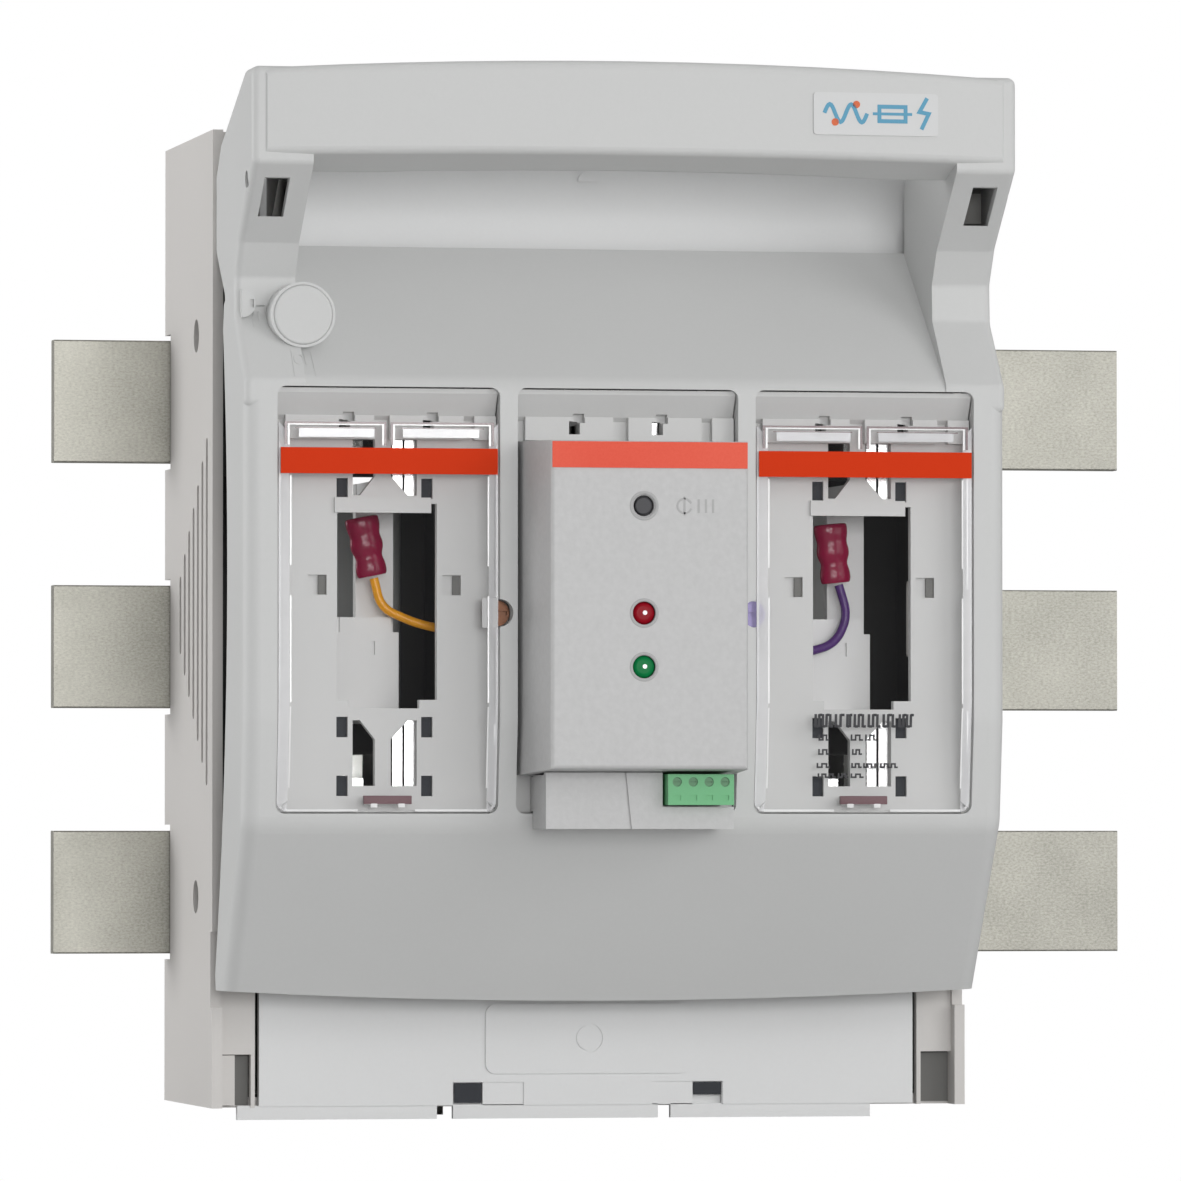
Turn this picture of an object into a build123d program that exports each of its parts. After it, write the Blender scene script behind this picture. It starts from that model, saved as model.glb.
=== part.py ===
from build123d import *
from math import degrees, tan
import os

# Three-pole fuse switch disconnector that hangs on a three-bar busbar system.
# Everything is modelled in the housing frame: X to the right, Y from the front
# plane of the shrouds into the wall, Z up from the lower edge of the housing.
# At the end each part is shifted so that the origin is the middle of the front
# face of the middle busbar, where the centre pole's contact is seated.

# Housing
width = 184.0
height = 233.0
depth = 69.0
wall = 2.5
side_front = -4.0            # the side walls stand this far in front of the shrouds
swing_relief = -1.4          # their front edge beside the hinge, where the cover swings past
shroud_thick = 3.0
shroud_half = 80.0
shroud_top = 28.6            # top edge of the lower shroud
strip_low = 200.0            # lower edge of the upper shroud
strip_high = 210.8           # top of its raised strip
inner_front = shroud_thick + 0.3

# Poles and fuse size
pole_pitch = 57.2
poles = {"left": -pole_pitch, "centre": 0.0, "right": pole_pitch}
fuse_mid = 118.3             # height of the middle of the fuses
jaw_offset = 51.0            # blade contacts above and below the middle
jaw_half = 17.0
jaw_front = -4.0
jaw_root = 24.0
leaf_gap = 2.7
leaf_thick = 2.0

# Busbars
bar_pitch = 60.0
bar_height = 30.0
bar_thick = 5.0
bar_front = 62.0
bar_middle = 111.0
bar_left = -120.5
bar_right = 147.5
bars = {"upper": bar_middle + bar_pitch, "middle": bar_middle, "lower": bar_middle - bar_pitch}
bar_of_pole = {"left": "upper", "centre": "middle", "right": "lower"}

# Cover
cover_half = 91.5
cover_wall = 2.5
plate_front = -47.6
plate_low = 67.0
plate_high = 171.0
lip = (-15.5, 25.5)
scoop_back = (-4.0, 205.5)
arm_inner = 77.0
corner_radius = 4.0
opening_half = 26.5
opening_low = 70.0
opening_high = 170.0
jamb_thick = 1.2
opening_radius = 2.2
carrier_front = -41.6
carrier_thick = 2.5
screw_x = 30.8
screw_z = 117.1
screw_r = 1.5
screw_head_r = 3.1
pad_low = 157.8
pad_high = 163.4
pad_front = -44.0

# Blanking disc and the small index boss on the left arm
disc_x = -76.5
disc_z = 187.0
disc_r = 7.0
disc_front = -41.5
index_x = -90.2
index_z = 189.8

# Hinge of the cover
hinge_y = -10.0
hinge_z = 35.0
hinge_pin_r = 2.5
hinge_hook_r = 2.56
hinge_eye_r = 4.5
hinge_x = 73.0

# Windows
window_half = 26.1
window_low = 70.5
window_high = 161.5
window_front = -47.9
window_thick = 1.5
band_low = 149.5
band_high = 155.6

# Fuse monitor
monitor_front = -72.5
monitor_half = 23.4
monitor_low = 80.3
monitor_high = 156.7
lamp_x = -1.4
button_z = 141.6
red_z = 116.6
green_z = 104.1
plug_pitch = 3.81
plug_left = 6.0
plug_ways = 4
plug_screw_r = 1.05

# Cable terminals
clamp_low = 10.0
clamp_high = 32.0
clamp_bore_r = 8.5
clamp_axis_y = 26.5

lead_r = 1.05


def block(x, y, z):
    size = [high - low for low, high in (x, y, z)]
    middle = [(high + low) / 2 for low, high in (x, y, z)]
    return Pos(*middle) * Box(*size)


def about(middle, half):
    return (middle - half, middle + half)


def rod_x(y, z, radius, x):
    return Pos((x[0] + x[1]) / 2, y, z) * Rot(0, 90, 0) * Cylinder(radius, x[1] - x[0])


def rod_y(x, z, radius, y):
    return Pos(x, (y[0] + y[1]) / 2, z) * Rot(90, 0, 0) * Cylinder(radius, y[1] - y[0])


def rod_z(x, y, radius, z):
    return Pos(x, y, (z[0] + z[1]) / 2) * Cylinder(radius, z[1] - z[0])


def along_x(face, x):
    return extrude(Plane.YZ.offset(x[0]) * face, x[1] - x[0], dir=(1, 0, 0))


def along_y(face, y):
    return extrude(Plane.XZ.offset(-y[0]) * face, y[1] - y[0], dir=(0, 1, 0))


def along_z(face, z):
    return extrude(Pos(0, 0, z[0]) * face, z[1] - z[0], dir=(0, 0, 1))


def outline(points, radius=0.0):
    if radius:
        return make_face(FilletPolyline(*points, radius=radius, close=True))
    return make_face(Polyline(*points, close=True))


def shift_path(points, distance):
    """Each leg of an open path moved sideways, to the right of its direction."""
    legs = []
    for (a, b), (c, d) in zip(points, points[1:]):
        long = ((c - a) ** 2 + (d - b) ** 2) ** 0.5
        nx, ny = (d - b) / long, -(c - a) / long
        legs.append(((a + nx * distance, b + ny * distance), (c - a, d - b)))
    moved = [legs[0][0]]
    for ((px, py), (ux, uy)), ((qx, qy), (vx, vy)) in zip(legs, legs[1:]):
        step = ((qx - px) * vy - (qy - py) * vx) / (ux * vy - uy * vx)
        moved.append((px + ux * step, py + uy * step))
    (px, py), (ux, uy) = legs[-1]
    moved.append((px + ux, py + uy))
    return moved


def mirrored(shape):
    return shape + mirror(shape, Plane.YZ)


# ---------------------------------------------------------------- housing

def vent_slots():
    slots = Part()
    for i in range(7):
        slot = Pos(4.6 + 6.7 * i, fuse_mid) * SlotOverall(83.0 - 10.7 * i, 2.8, rotation=90)
        slots += along_x(slot, (width / 2 - wall - 1, width / 2 + 1))
    return slots


def side_wall():
    side = block((width / 2 - wall, width / 2), (side_front, depth), (0, height))
    side -= vent_slots()
    for z in (50.1, 185.0):
        side -= rod_x(20.7, z, 4.0, (width / 2 - wall - 1, width / 2 + 1))
    through = (width / 2 - wall - 1, width / 2 + 1)
    for z in bars.values():
        side -= block(through, (bar_front - 1.5, depth + 1), about(z, 16.5))
    return side - block(through, (side_front - 1, swing_relief), (24.0, 42.0))


def corner_flanges():
    outer = width / 2 - wall
    flanges = block((shroud_half + 1, outer), (0, shroud_thick), (0, 30.5))
    flanges -= block((shroud_half + 2, outer), (-1, shroud_thick + 1), (-1, 12.7))
    flanges += block((shroud_half + 1, outer), (0, shroud_thick), (strip_low, height - wall))
    flanges += block((shroud_half + 1, outer), (shroud_thick, 12.0), (strip_low, strip_low + 2))
    flanges += block((shroud_half + 1, outer), (shroud_thick, 12.0), (28.5, 30.5))
    return flanges


def floor_and_roof():
    floor = block(about(0, width / 2), (inner_front, depth), (0, wall))
    roof = block(about(0, width / 2), (inner_front, depth), (height - wall, height))
    for x in (-53.2, 0, 53.2):
        floor -= block(about(x, 22.5), (12.0, 37.0), (-1, wall + 1))
        floor += block(about(x, 24.7), (37.0, 40.0), (-3.0, wall))
        for i in range(5):
            roof -= block(about(x, 18.0), about(16.0 + 7.0 * i, 1.4), (height - wall - 1, height + 1))
    return floor + roof


def inner_walls():
    inside = width / 2 - wall
    back = block(about(0, inside), (56.5, 59.0), (wall, height - wall))
    walls = Part()
    for x in (-pole_pitch / 2, pole_pitch / 2):
        walls += block(about(x, 1.0), (inner_front, 56.5), (wall, height - wall))
    for z in ((52.0, 85.0), (152.0, 208.0)):
        walls += block(about(0, inside), (36.0, 39.0), z)
    for name, x in poles.items():
        bar_z = bars[bar_of_pole[name]]
        back -= block(about(x, 15.5), (56.0, 60.0), about(bar_z, 24.0))
        walls -= block(about(x, 8.5), (35.0, 40.0), (fuse_mid + jaw_offset - 3.5, fuse_mid + jaw_offset + 3.5))
        for z in (fuse_mid - jaw_offset, fuse_mid + jaw_offset):
            for offset in (-10.0, 10.0):
                walls += block(about(x, 8.0), (27.0, 36.0), about(z + offset, 3.0))
    return back + walls


def hinge_brackets():
    rail = block(about(0, width / 2 - wall), (inner_front, 6.3), (30.5, 39.5))
    ears = Part()
    for x in ((hinge_x - 7.0, hinge_x - 3.0), (hinge_x + 3.0, hinge_x + 7.0)):
        ear = rod_x(hinge_y, hinge_z, hinge_eye_r, x)
        ear += block(x, (hinge_y, inner_front), (hinge_z - hinge_pin_r - 0.6, hinge_z + hinge_eye_r))
        ears += ear - rod_x(hinge_y, hinge_z, hinge_pin_r, (x[0] - 1, x[1] + 1))
    return rail + mirrored(ears)


def base_housing():
    body = mirrored(side_wall() + corner_flanges())
    return body + floor_and_roof() + inner_walls() + hinge_brackets()


def lower_shroud():
    plate = block(about(0, shroud_half), (0, shroud_thick), (0.3, shroud_top))
    panel = outline([(-25.1, 7.8), (25.1, 7.8), (25.1, 24.5), (-25.1, 24.5)], 2.5)
    plate += along_y(panel, (-0.5, 0.5))
    plate -= rod_y(0, 16.3, 3.5, (-1, -0.2))
    plate += rod_y(0, 16.3, 2.9, (-0.5, 0.5))
    for side in (-1, 1):
        plate -= block(about(side * 24.4, 8.7), (-1, 0.4), (0.2, 5.8))
        plate -= block(about(side * 29.3, 3.6), (-1, 2.2), (0.2, 5.8))
    return plate


def upper_shroud():
    plate = block(about(0, shroud_half), (0, shroud_thick), (strip_low, height - 0.3))
    plate += block((-shroud_half, shroud_half - 4.0), (-1.5, 0), (strip_low + 2, strip_high))
    badge = rod_y(0, 222.0, 2.6, (-0.8, 0)) & block((-4, 4), (-2, 1), (222.0, 226.0))
    return plate + badge


# ---------------------------------------------------------------- conductors

def jaw(x, z):
    leaf = outline([
        (leaf_gap, jaw_root), (leaf_gap, 3.0), (leaf_gap + 2.2, jaw_front),
        (leaf_gap + 4.0, jaw_front), (leaf_gap + leaf_thick, 3.5), (leaf_gap + leaf_thick, jaw_root)])
    leaves = mirrored(along_z(leaf, (-jaw_half, jaw_half)))
    web = block(about(0, leaf_gap + leaf_thick), (jaw_root, jaw_root + 3.0), (-jaw_half, jaw_half))
    return Pos(x, 0, z) * (leaves + web)


def upper_jaw(x):
    return jaw(x, fuse_mid + jaw_offset)


def lower_jaw(x):
    contact = jaw(x, fuse_mid - jaw_offset)
    contact += block(about(x, 6.0), (jaw_root, jaw_root + 3.0), (clamp_high + 3.0, 52.0))
    contact += block(about(x, 12.0), (14.0, 39.0), (clamp_high, clamp_high + 3.0))
    return contact


def jaw_springs():
    springs = Part()
    outer = leaf_gap + leaf_thick
    for x in poles.values():
        for z in (fuse_mid - jaw_offset, fuse_mid + jaw_offset):
            for side in (-1, 1):
                springs += block(about(x + side * (outer + 0.5), 0.5), (6.0, 21.0), about(z, 6.0))
    return springs


def feed_bar(name):
    x = poles[name]
    top = fuse_mid + jaw_offset
    bar_z = bars[bar_of_pole[name]]
    bar = block(about(x, 7.5), (jaw_root + 3.0, 48.0), about(top, 1.5))
    bar += block(about(x, 7.5), (45.0, 48.0), (min(bar_z, top) - 1.5, max(bar_z, top) + 1.5))
    bar += block(about(x, 7.5), (48.0, bar_front), about(bar_z, 1.5))
    return bar + block(about(x, 7.5), (bar_front - 2.5, bar_front), about(bar_z, 11.0))


def busbar_hook(name):
    x = poles[name]
    bar_z = bars[bar_of_pole[name]]
    top = bar_z + bar_height / 2 + 0.3
    rear = bar_front + bar_thick + 0.3
    hook = block((x - 13.0, x + 15.0), (50.0, rear + 3.0), (top, top + 3.0))
    hook += block((x - 13.0, x + 15.0), (rear, rear + 3.0), (top - 8.0, top))
    hook += block((x - 13.0, x + 15.0), (50.0, 53.0), (bar_z + 4.0, top))
    return hook - rod_y(x + 11.0, bar_z + 10.0, 2.6, (49.0, 54.0))


def hook_screws():
    screws = Part()
    for name, x in poles.items():
        z = bars[bar_of_pole[name]] + 10.0
        head = rod_y(x + 11.0, z, 3.2, (46.5, 49.8)) - block(about(x + 11.0, 0.5), (46.0, 47.5), about(z, 4.0))
        screws += head + rod_y(x + 11.0, z, 2.5, (49.8, 58.0))
    return screws


def cable_clamp(x):
    frame = block(about(x, 13.0), (13.0, 40.0), (clamp_low, clamp_high))
    frame = fillet(frame.edges().filter_by(Axis.Z), 2.5)
    frame -= rod_z(x, clamp_axis_y, clamp_bore_r, (clamp_low - 1, clamp_high + 1))
    return frame - rod_y(x, 21.0, 4.0, (12.0, 20.0))


def clamp_screws():
    screws = Part()
    for x in poles.values():
        head = rod_y(x, 21.0, 6.5, (6.0, 12.6))
        socket = along_y(Pos(x, 21.0) * RegularPolygon(3.4, 6), (5.0, 9.5))
        screws += head - socket + rod_y(x, 21.0, 3.95, (12.6, 17.6))
    return screws


def strap_cover(x):
    cap = block(about(x, 19.0), (40.2, 56.5), (92.0, 146.0))
    cap = fillet(cap.edges().filter_by(Axis.Z).group_by(Axis.Y)[0], 2.0)
    return cap - block(about(x, 17.0), (42.4, 57.0), (91.0, 147.0))


def arc_chute(x):
    frame = block(about(x, 12.0), (4.0, 36.0), (190.0, 206.0))
    return frame - block(about(x, 10.4), (3.0, 34.4), (189.0, 207.0))


def arc_plates():
    plates = Part()
    for x in poles.values():
        for i in range(4):
            plate = block(about(x, 10.4), (5.0, 30.0), about(192.8 + 3.5 * i, 0.6))
            notch = along_z(outline([(x - 4, 4), (x + 4, 4), (x, 16)]), (188.0, 208.0))
            plates += plate - notch
    return plates


def busbar(z):
    bar = block((bar_left, bar_right), (bar_front, bar_front + bar_thick), about(z, bar_height / 2))
    return fillet(bar.edges().filter_by(Axis.X), 0.4)


def hinge_pins():
    return mirrored(rod_x(hinge_y, hinge_z, hinge_pin_r, (hinge_x - 7.0, hinge_x + 7.0)))


# ---------------------------------------------------------------- cover

front_path = [lip, (-44.5, plate_low), (plate_front, 92.0), (plate_front, plate_high), scoop_back]


def shell_body():
    front = FilletPolyline(*front_path, radius=[9.0, 14.0, 6.0])
    back = ThreePointArc((-16.3, 184.5), (-22.6, 120.0), (-5.4, 31.7))
    above = Polyline(scoop_back, (-4.3, 203.0), (-17.7, 192.0), (-16.3, 184.5))
    below = Polyline((-5.4, 31.7), (-6.5, 28.0), lip)
    solid = along_x(make_face([front, above, back, below]), about(0, cover_half))
    edges = [edge for edge in solid.edges()
             if abs(abs(edge.center().X) - cover_half) < 0.01 and on_front(edge.center())]
    solid = fillet(edges, corner_radius)
    inner = shift_path(front_path, cover_wall)
    (ay, az), (by, bz) = inner[0], inner[1]
    (cy, cz), (dy, dz) = inner[-2], inner[-1]
    inner[0] = (ay - (by - ay) * 0.4, az - (bz - az) * 0.4)
    inner[-1] = (dy + (dy - cy) * 0.3, dz + (dz - cz) * 0.3)
    hollow = along_x(outline(inner), about(0, cover_half - cover_wall))
    return solid - hollow - lower_edge_cut()


def on_front(point):
    """True for a point on the front path, not on the back edge of the side walls."""
    if point.Z > plate_high:
        return point.Y < -4.5 - (scoop_back[1] - point.Z) * 1.1
    if point.Z > plate_low:
        return point.Y < -40.0
    return point.Y < lip[0] - (point.Z - lip[1]) * 0.5 + 0.4 and point.Z > lip[1] + 0.5


def lower_edge_cut():
    """The lower edge rises slightly from the middle to the sides."""
    arc = ThreePointArc((-95.0, 28.3), (0, lip[1]), (95.0, 28.3))
    rest = Polyline((95.0, 28.3), (95.0, 10.0), (-95.0, 10.0), (-95.0, 28.3))
    return along_y(make_face([arc, rest]), (-40.0, 10.0))


def arm_outline():
    front = [(plate_front, 165.0), (plate_front, 171.5), (-33.5, 187.5), (-33.0, 196.0), (-38.0, 204.0),
             (-58.4, 221.5), (-58.4, 244.0)]
    back = [(-47.0, 244.0), (-12.0, 229.5), (-4.8, 222.0), (-4.8, 203.0), (-17.7, 191.8),
            (-16.3, 184.0), (-18.5, 165.0)]
    return outline(front + back, 1.9)


def arms():
    solid = along_x(arm_outline(), (arm_inner, cover_half))
    edges = [edge for edge in solid.edges() if abs(edge.center().X - cover_half) < 0.01
             and (edge.center().Y < -30.0 or edge.center().Z > 223.0)]
    solid = fillet(edges, 1.8)
    core = along_x(offset(arm_outline(), -2.2), (arm_inner + 2.2, cover_half - 2.2))
    solid -= core
    solid -= Pos(0, 3.0, 0) * core
    slot = block((81.9, 87.9), (-60.0, -40.0), (209.7, 218.2))
    solid -= slot
    solid -= rod_x(-50.0, 218.0, 2.0, (cover_half - 3.0, cover_half + 1.0))
    return mirrored(solid)


def handle_plan(grown):
    """Plan outline of the handle: its front is bowed and its ends are rounded."""
    end = cover_half - 3.5
    front = ThreePointArc((-end, -58.8 - grown), (0, -62.0 - grown), (end, -58.8 - grown))
    rest = Polyline((end, -58.8 - grown), (cover_half, -55.3), (cover_half, -46.0),
                    (-cover_half, -46.0), (-cover_half, -55.3), (-end, -58.8 - grown))
    return make_face([front, rest])


def handle_bar():
    plan = along_z(handle_plan(0.0), (218.0, 248.0))
    side = along_x(outline([(-64.0, 225.0), (-64.0, 250.0), (-44.0, 250.0), (-44.0, 220.3), (-47.0, 220.3)]),
                   about(0, cover_half + 1))
    top = ThreePointArc((-cover_half, 243.4), (0, 246.2), (cover_half, 243.4))
    bottom = ThreePointArc((cover_half, 219.2), (0, 221.4), (-cover_half, 219.2))
    ends = [Line((cover_half, 243.4), (cover_half, 219.2)), Line((-cover_half, 219.2), (-cover_half, 243.4))]
    face = make_face([top, ends[0], bottom, ends[1]])
    face = fillet(face.vertices().sort_by(Axis.Y)[-2:], 5.0)
    bar = plan & side & along_y(face, (-66.0, -40.0))
    front_edges = [edge for edge in bar.edges() if edge.center().Y < -56.0 and edge.length > 30.0]
    bar = fillet(front_edges, 2.0)
    for i in range(4):
        low = -arm_inner + 1.5 + i * 38.5
        bar -= block((low, low + 35.5), (-56.5, -45.0), (226.0, 240.5))
    return bar


def window_openings():
    cuts = Part()
    jambs = Part()
    for x in poles.values():
        corners = [(x - opening_half, opening_low), (x + opening_half, opening_low),
                   (x + opening_half, opening_high), (x - opening_half, opening_high)]
        cuts += along_y(outline(corners, opening_radius), (-60.0, -30.0))
        jambs += block(about(x, opening_half + jamb_thick), (-44.5, carrier_front - 0.3),
                       (opening_low - jamb_thick, opening_high + jamb_thick))
    return cuts, jambs


def hinge_hooks():
    eye = rod_x(hinge_y, hinge_z, hinge_eye_r, about(hinge_x, 2.5))
    web = Pos(hinge_x, hinge_y, hinge_z) * Rot(35, 0, 0) * Pos(0, -4.4, 0) * Box(5.0, 8.8, 7.0)
    return mirrored(eye + web - rod_x(hinge_y, hinge_z, hinge_hook_r, about(hinge_x, 4.0)))


def cover_shell():
    cuts, jambs = window_openings()
    shell = shell_body() + jambs + arms() + handle_bar() - cuts
    shell += rod_y(disc_x, disc_z, disc_r + 0.7, (disc_front + 0.4, -22.0))
    shell -= rod_y(disc_x, disc_z, disc_r + 0.05, (disc_front, -31.0))
    for side in (-1, 1):
        shell -= rod_y(side * screw_x, screw_z, screw_head_r + 0.15, (-50.0, -41.0))
    index = rod_y(index_x, index_z, 3.3, (-36.0, -30.0)) & block((index_x, -80.0), (-37.0, -29.0), (180.0, 200.0))
    index -= block((-88.3, -87.4), (-37.0, -35.2), about(index_z, 1.0))
    return shell + index + hinge_hooks()


def plate_holes(side):
    """Contact openings of a fuse carrier below its middle, or above it, where the pads cover their ends."""
    low = fuse_mid + side * 26.4
    high = pad_low if side > 0 else fuse_mid - 41.8
    holes = Part()
    for x0, x1, inner in ((-7.6, -2.3, -2.3), (1.5, 7.7, 1.5)):
        outer = x0 + x1 - inner
        shape = [(outer, low), (outer, high), (inner, high), (inner, low + side * 4.5),
                 ((inner + outer * 2) / 3, low)]
        holes += along_y(outline(shape), (carrier_front - 1, carrier_front + carrier_thick + 1))
    for offset in (28.0,) if side > 0 else (28.0, 41.8):
        for x in (-10.1, 10.1):
            z = fuse_mid + side * offset
            holes += block(about(x, 1.35), (carrier_front - 1, -38.0), about(z, 2.4))
    return holes


def fuse_carrier(name):
    x = poles[name]
    back = carrier_front + carrier_thick
    plate = block(about(0, 26.2), (carrier_front, back), (70.3, 169.7))
    opening = outline([(-11.3, 96.7), (-8.6, 96.7), (-8.6, 94.7), (8.3, 94.7), (8.3, 96.7), (12.5, 96.7),
                       (12.5, 142.8), (-11.3, 142.8)])
    plate -= along_y(opening, (carrier_front - 1, back + 1))
    for side in (-1, 1):
        plate -= plate_holes(side)
        plate -= block(about(side * 16.0, 2.2), (carrier_front - 1, carrier_front + 1.2), (121.3, 126.0))
        plate += block(about(side * 25.4, 0.8), (back, -33.0), (70.3, 169.7))
        tower = block(about(0, 8.5), (back, -20.0), about(fuse_mid + side * 47.0, 3.0))
        plate += tower - block(about(0, 2.0), (-32.0, -19.0), about(fuse_mid + side * 47.0, 4.0))
        plate += block(about(0, 25.4), (back, -33.0), about(fuse_mid + side * 48.6, 0.8))
    plate += block((-12.0, 11.0), (carrier_front - 0.8, carrier_front), (140.6, 144.2))
    ramp = outline([(carrier_front, pad_high - 1), (-42.6, pad_high), (-45.7, 168.6), (-45.7, 169.7),
                    (carrier_front, 169.7)])
    plate += along_x(ramp, about(0, 26.2))
    for pad in ((-24.0, -2.9), (0.8, 18.4), (21.0, 26.2)):
        plate += block(pad, (pad_front, carrier_front), (pad_low, pad_high))
    shift = -2.2 if name == "centre" else 0.0
    for middle in (-10.0 + shift, 10.0 + shift):
        plate -= block(about(middle, 1.3), (-50.0, -38.0), (159.3, 162.4))
        plate -= block((middle - 0.2, middle + 2.5), (-50.0, -41.0), (162.0, 164.2))
    carrier = Pos(x, 0, 0) * plate
    if name != "centre":
        ear = 29.3 if x > 0 else -29.3
        carrier += block(about(ear, 2.0), (carrier_front, back), (112.0, 122.2))
    for side in (-1, 1):
        carrier -= rod_y(side * screw_x, screw_z, screw_r, (carrier_front - 1, back + 1))
    return carrier


def grip_clips():
    clips = Part()
    for x in poles.values():
        for side in (-1, 1):
            z = fuse_mid + side * 35.0
            clip = block((x + 2.4, x + 4.7), (-38.9, -37.9), about(z, 9.0))
            clip += block((x + 5.3, x + 8.8), (-38.9, -37.9), about(z, 9.0))
            clip += block((x - 8.5, x - 4.6), (-38.9, -37.9), about(z + side * 7.0, 2.0))
            clips += clip + block((x - 8.5, x + 8.8), (-38.9, -37.9), about(z + side * 8.3, 0.7))
    return clips


def window(x):
    profile = [(window_front, window_high), (window_front, 96.0), (-45.0, window_low),
               (-45.0 + window_thick, window_low), (window_front + window_thick, 96.0),
               (window_front + window_thick, window_high)]
    pane = along_x(outline(profile), about(0, window_half))
    gap = block(about(-0.2, 1.3), (-50.0, -40.0), (157.5, window_high + 1))
    notch = block(about(0, 6.4), (-50.0, -40.0), (window_low - 1, 74.4))
    for side in (-1, 1):
        rim = [(window_front + 0.4, 150.0), (window_front + 0.4, 96.0), (-45.0 + 0.4, window_low),
               (-42.1, window_low), (-44.3, 96.0), (-44.3, 150.0)]
        pane += along_x(outline(rim), about(side * (window_half - 0.6), 0.6))
    pane += block(about(0, window_half), (-44.8, -42.1), (window_low, window_low + 1.2))
    corners = [(-window_half, window_low), (window_half, window_low),
               (window_half, window_high), (-window_half, window_high)]
    pane &= along_y(outline(corners, opening_radius), (-60.0, -30.0))
    return Pos(x, 0, 0) * (pane - gap - notch)


def window_band(x):
    return block(about(x, window_half - 0.3), (window_front - 0.4, window_front), (band_low, band_high))


def monitor_form(grown, front, back):
    rear = Plane.XZ.offset(-back) * Pos(0, 118.3) * Rectangle(51.6 + grown * 2, 78.6 + grown * 2)
    middle = (monitor_low + monitor_high) / 2
    tall = monitor_high - monitor_low
    flat = Pos(0, middle) * Rectangle(monitor_half * 2 + grown * 2, tall + grown * 2)
    face = Plane.XZ.offset(-front) * flat
    return loft([rear, face], ruled=True)


def monitor_housing():
    body = monitor_form(0, monitor_front, carrier_front)
    body = fillet(body.edges().group_by(Axis.Y)[0], 1.0)
    body -= monitor_form(-1.6, monitor_front + 1.6, carrier_front + 0.1)
    body -= rod_y(lamp_x, button_z, 2.45, (monitor_front - 1, monitor_front + 3))
    body -= Pos(lamp_x, monitor_front, button_z) * Rot(90, 0, 0) * Cone(2.45, 3.3, 1.0)
    for z in (red_z, green_z):
        body -= rod_y(lamp_x, z, 2.85, (monitor_front - 1, monitor_front + 3))
    return body


def monitor_base():
    body = block(about(0, 22.4), (-61.0, -45.2), (66.4, 79.0))
    body += block(about(0, 22.4), (-45.2, carrier_front), (70.6, 78.6))
    body += block(about(0, 22.4), (-61.0, -58.5), (79.0, 79.6))
    body -= block((plug_left - 0.6, 23.0), (-62.0, -50.3), (71.6, 81.0))
    seam = outline([(-2.4, 66.0), (-1.9, 66.0), (-3.4, 80.0), (-3.9, 80.0)])
    return body - along_y(seam, (-62.0, -60.5))


def terminal_plug():
    right = plug_left + plug_pitch * plug_ways + 0.5
    body = block((plug_left, right), (-64.5, -50.6), (72.0, 79.2))
    for i in range(plug_ways):
        x = plug_left + 2.15 + plug_pitch * i
        body -= block(about(x, 1.2), (-62.6, -59.4), (71.0, 75.4))
        body -= block(about(x, 0.9), (-65.0, -64.25), (73.1, 74.3))
        body -= rod_y(x, 77.4, plug_screw_r + 0.05, (-65.0, -62.9))
    return body


def plug_screws():
    screws = Part()
    for i in range(plug_ways):
        x = plug_left + 2.15 + plug_pitch * i
        screw = rod_y(x, 77.4, plug_screw_r, (-64.2, -62.9))
        screws += screw - block(about(x, 0.8), (-65.0, -63.8), about(77.4, 0.15))
    return screws


def circuit_board():
    board = block(about(0, 19.0), (-60.0, -58.4), (84.0, 152.0))
    board += block(about(lamp_x, 3.0), (-66.5, -60.0), about(button_z, 3.0))
    for x, z, sx, sz in ((10, 132, 5, 4), (-11, 126, 4, 6), (11, 96, 6, 3.5), (-12, 96, 3, 3)):
        board += block(about(x, sx), (-62.0, -60.0), about(z, sz))
    for side in (-1, 1):
        board += block(about(side * 14, 2), (-58.4, carrier_front), about(90, 2))
        board += block(about(side * 14, 2), (-58.4, carrier_front), about(146, 2))
    return board


def lamp(z):
    body = rod_y(lamp_x, z, 2.7, (monitor_front + 0.1, -60.0))
    return fillet(body.edges().group_by(Axis.Y)[0], 1.2)


def test_button():
    button = rod_y(lamp_x, button_z, 2.1, (monitor_front + 0.6, -67.6))
    button = fillet(button.edges().group_by(Axis.Y)[0], 0.4)
    return button + rod_y(lamp_x, button_z, 3.0, (-70.5, -69.5))


def cover_screws():
    screw = rod_y(screw_x, screw_z, screw_head_r, (-43.6, carrier_front))
    screw += rod_y(screw_x, screw_z, screw_r, (carrier_front, -39.2))
    return mirrored(screw - block(about(screw_x, 2.4), (-44.0, -42.8), about(screw_z, 0.5)))


def blanking_disc():
    disc = rod_y(disc_x, disc_z, disc_r, (disc_front, -31.0))
    return fillet(disc.edges().group_by(Axis.Y)[0], 0.6)


def handle_label():
    ring = along_z(handle_plan(0.35), (200.0, 260.0)) - along_z(handle_plan(0.0), (200.0, 260.0))
    return ring & block((41.6, 72.0), (-70.0, -56.0), (229.5, 239.7))


def tab_connector(x, z, turn):
    sleeve = Box(8.4, 4.6, 14.6)
    sleeve = fillet(sleeve.edges().filter_by(Axis.Z), 2.0)
    sleeve = fillet(sleeve.edges().group_by(Axis.Z)[0], 0.8)
    return Pos(x, -28.0, z) * Rot(0, turn, 0) * sleeve


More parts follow.
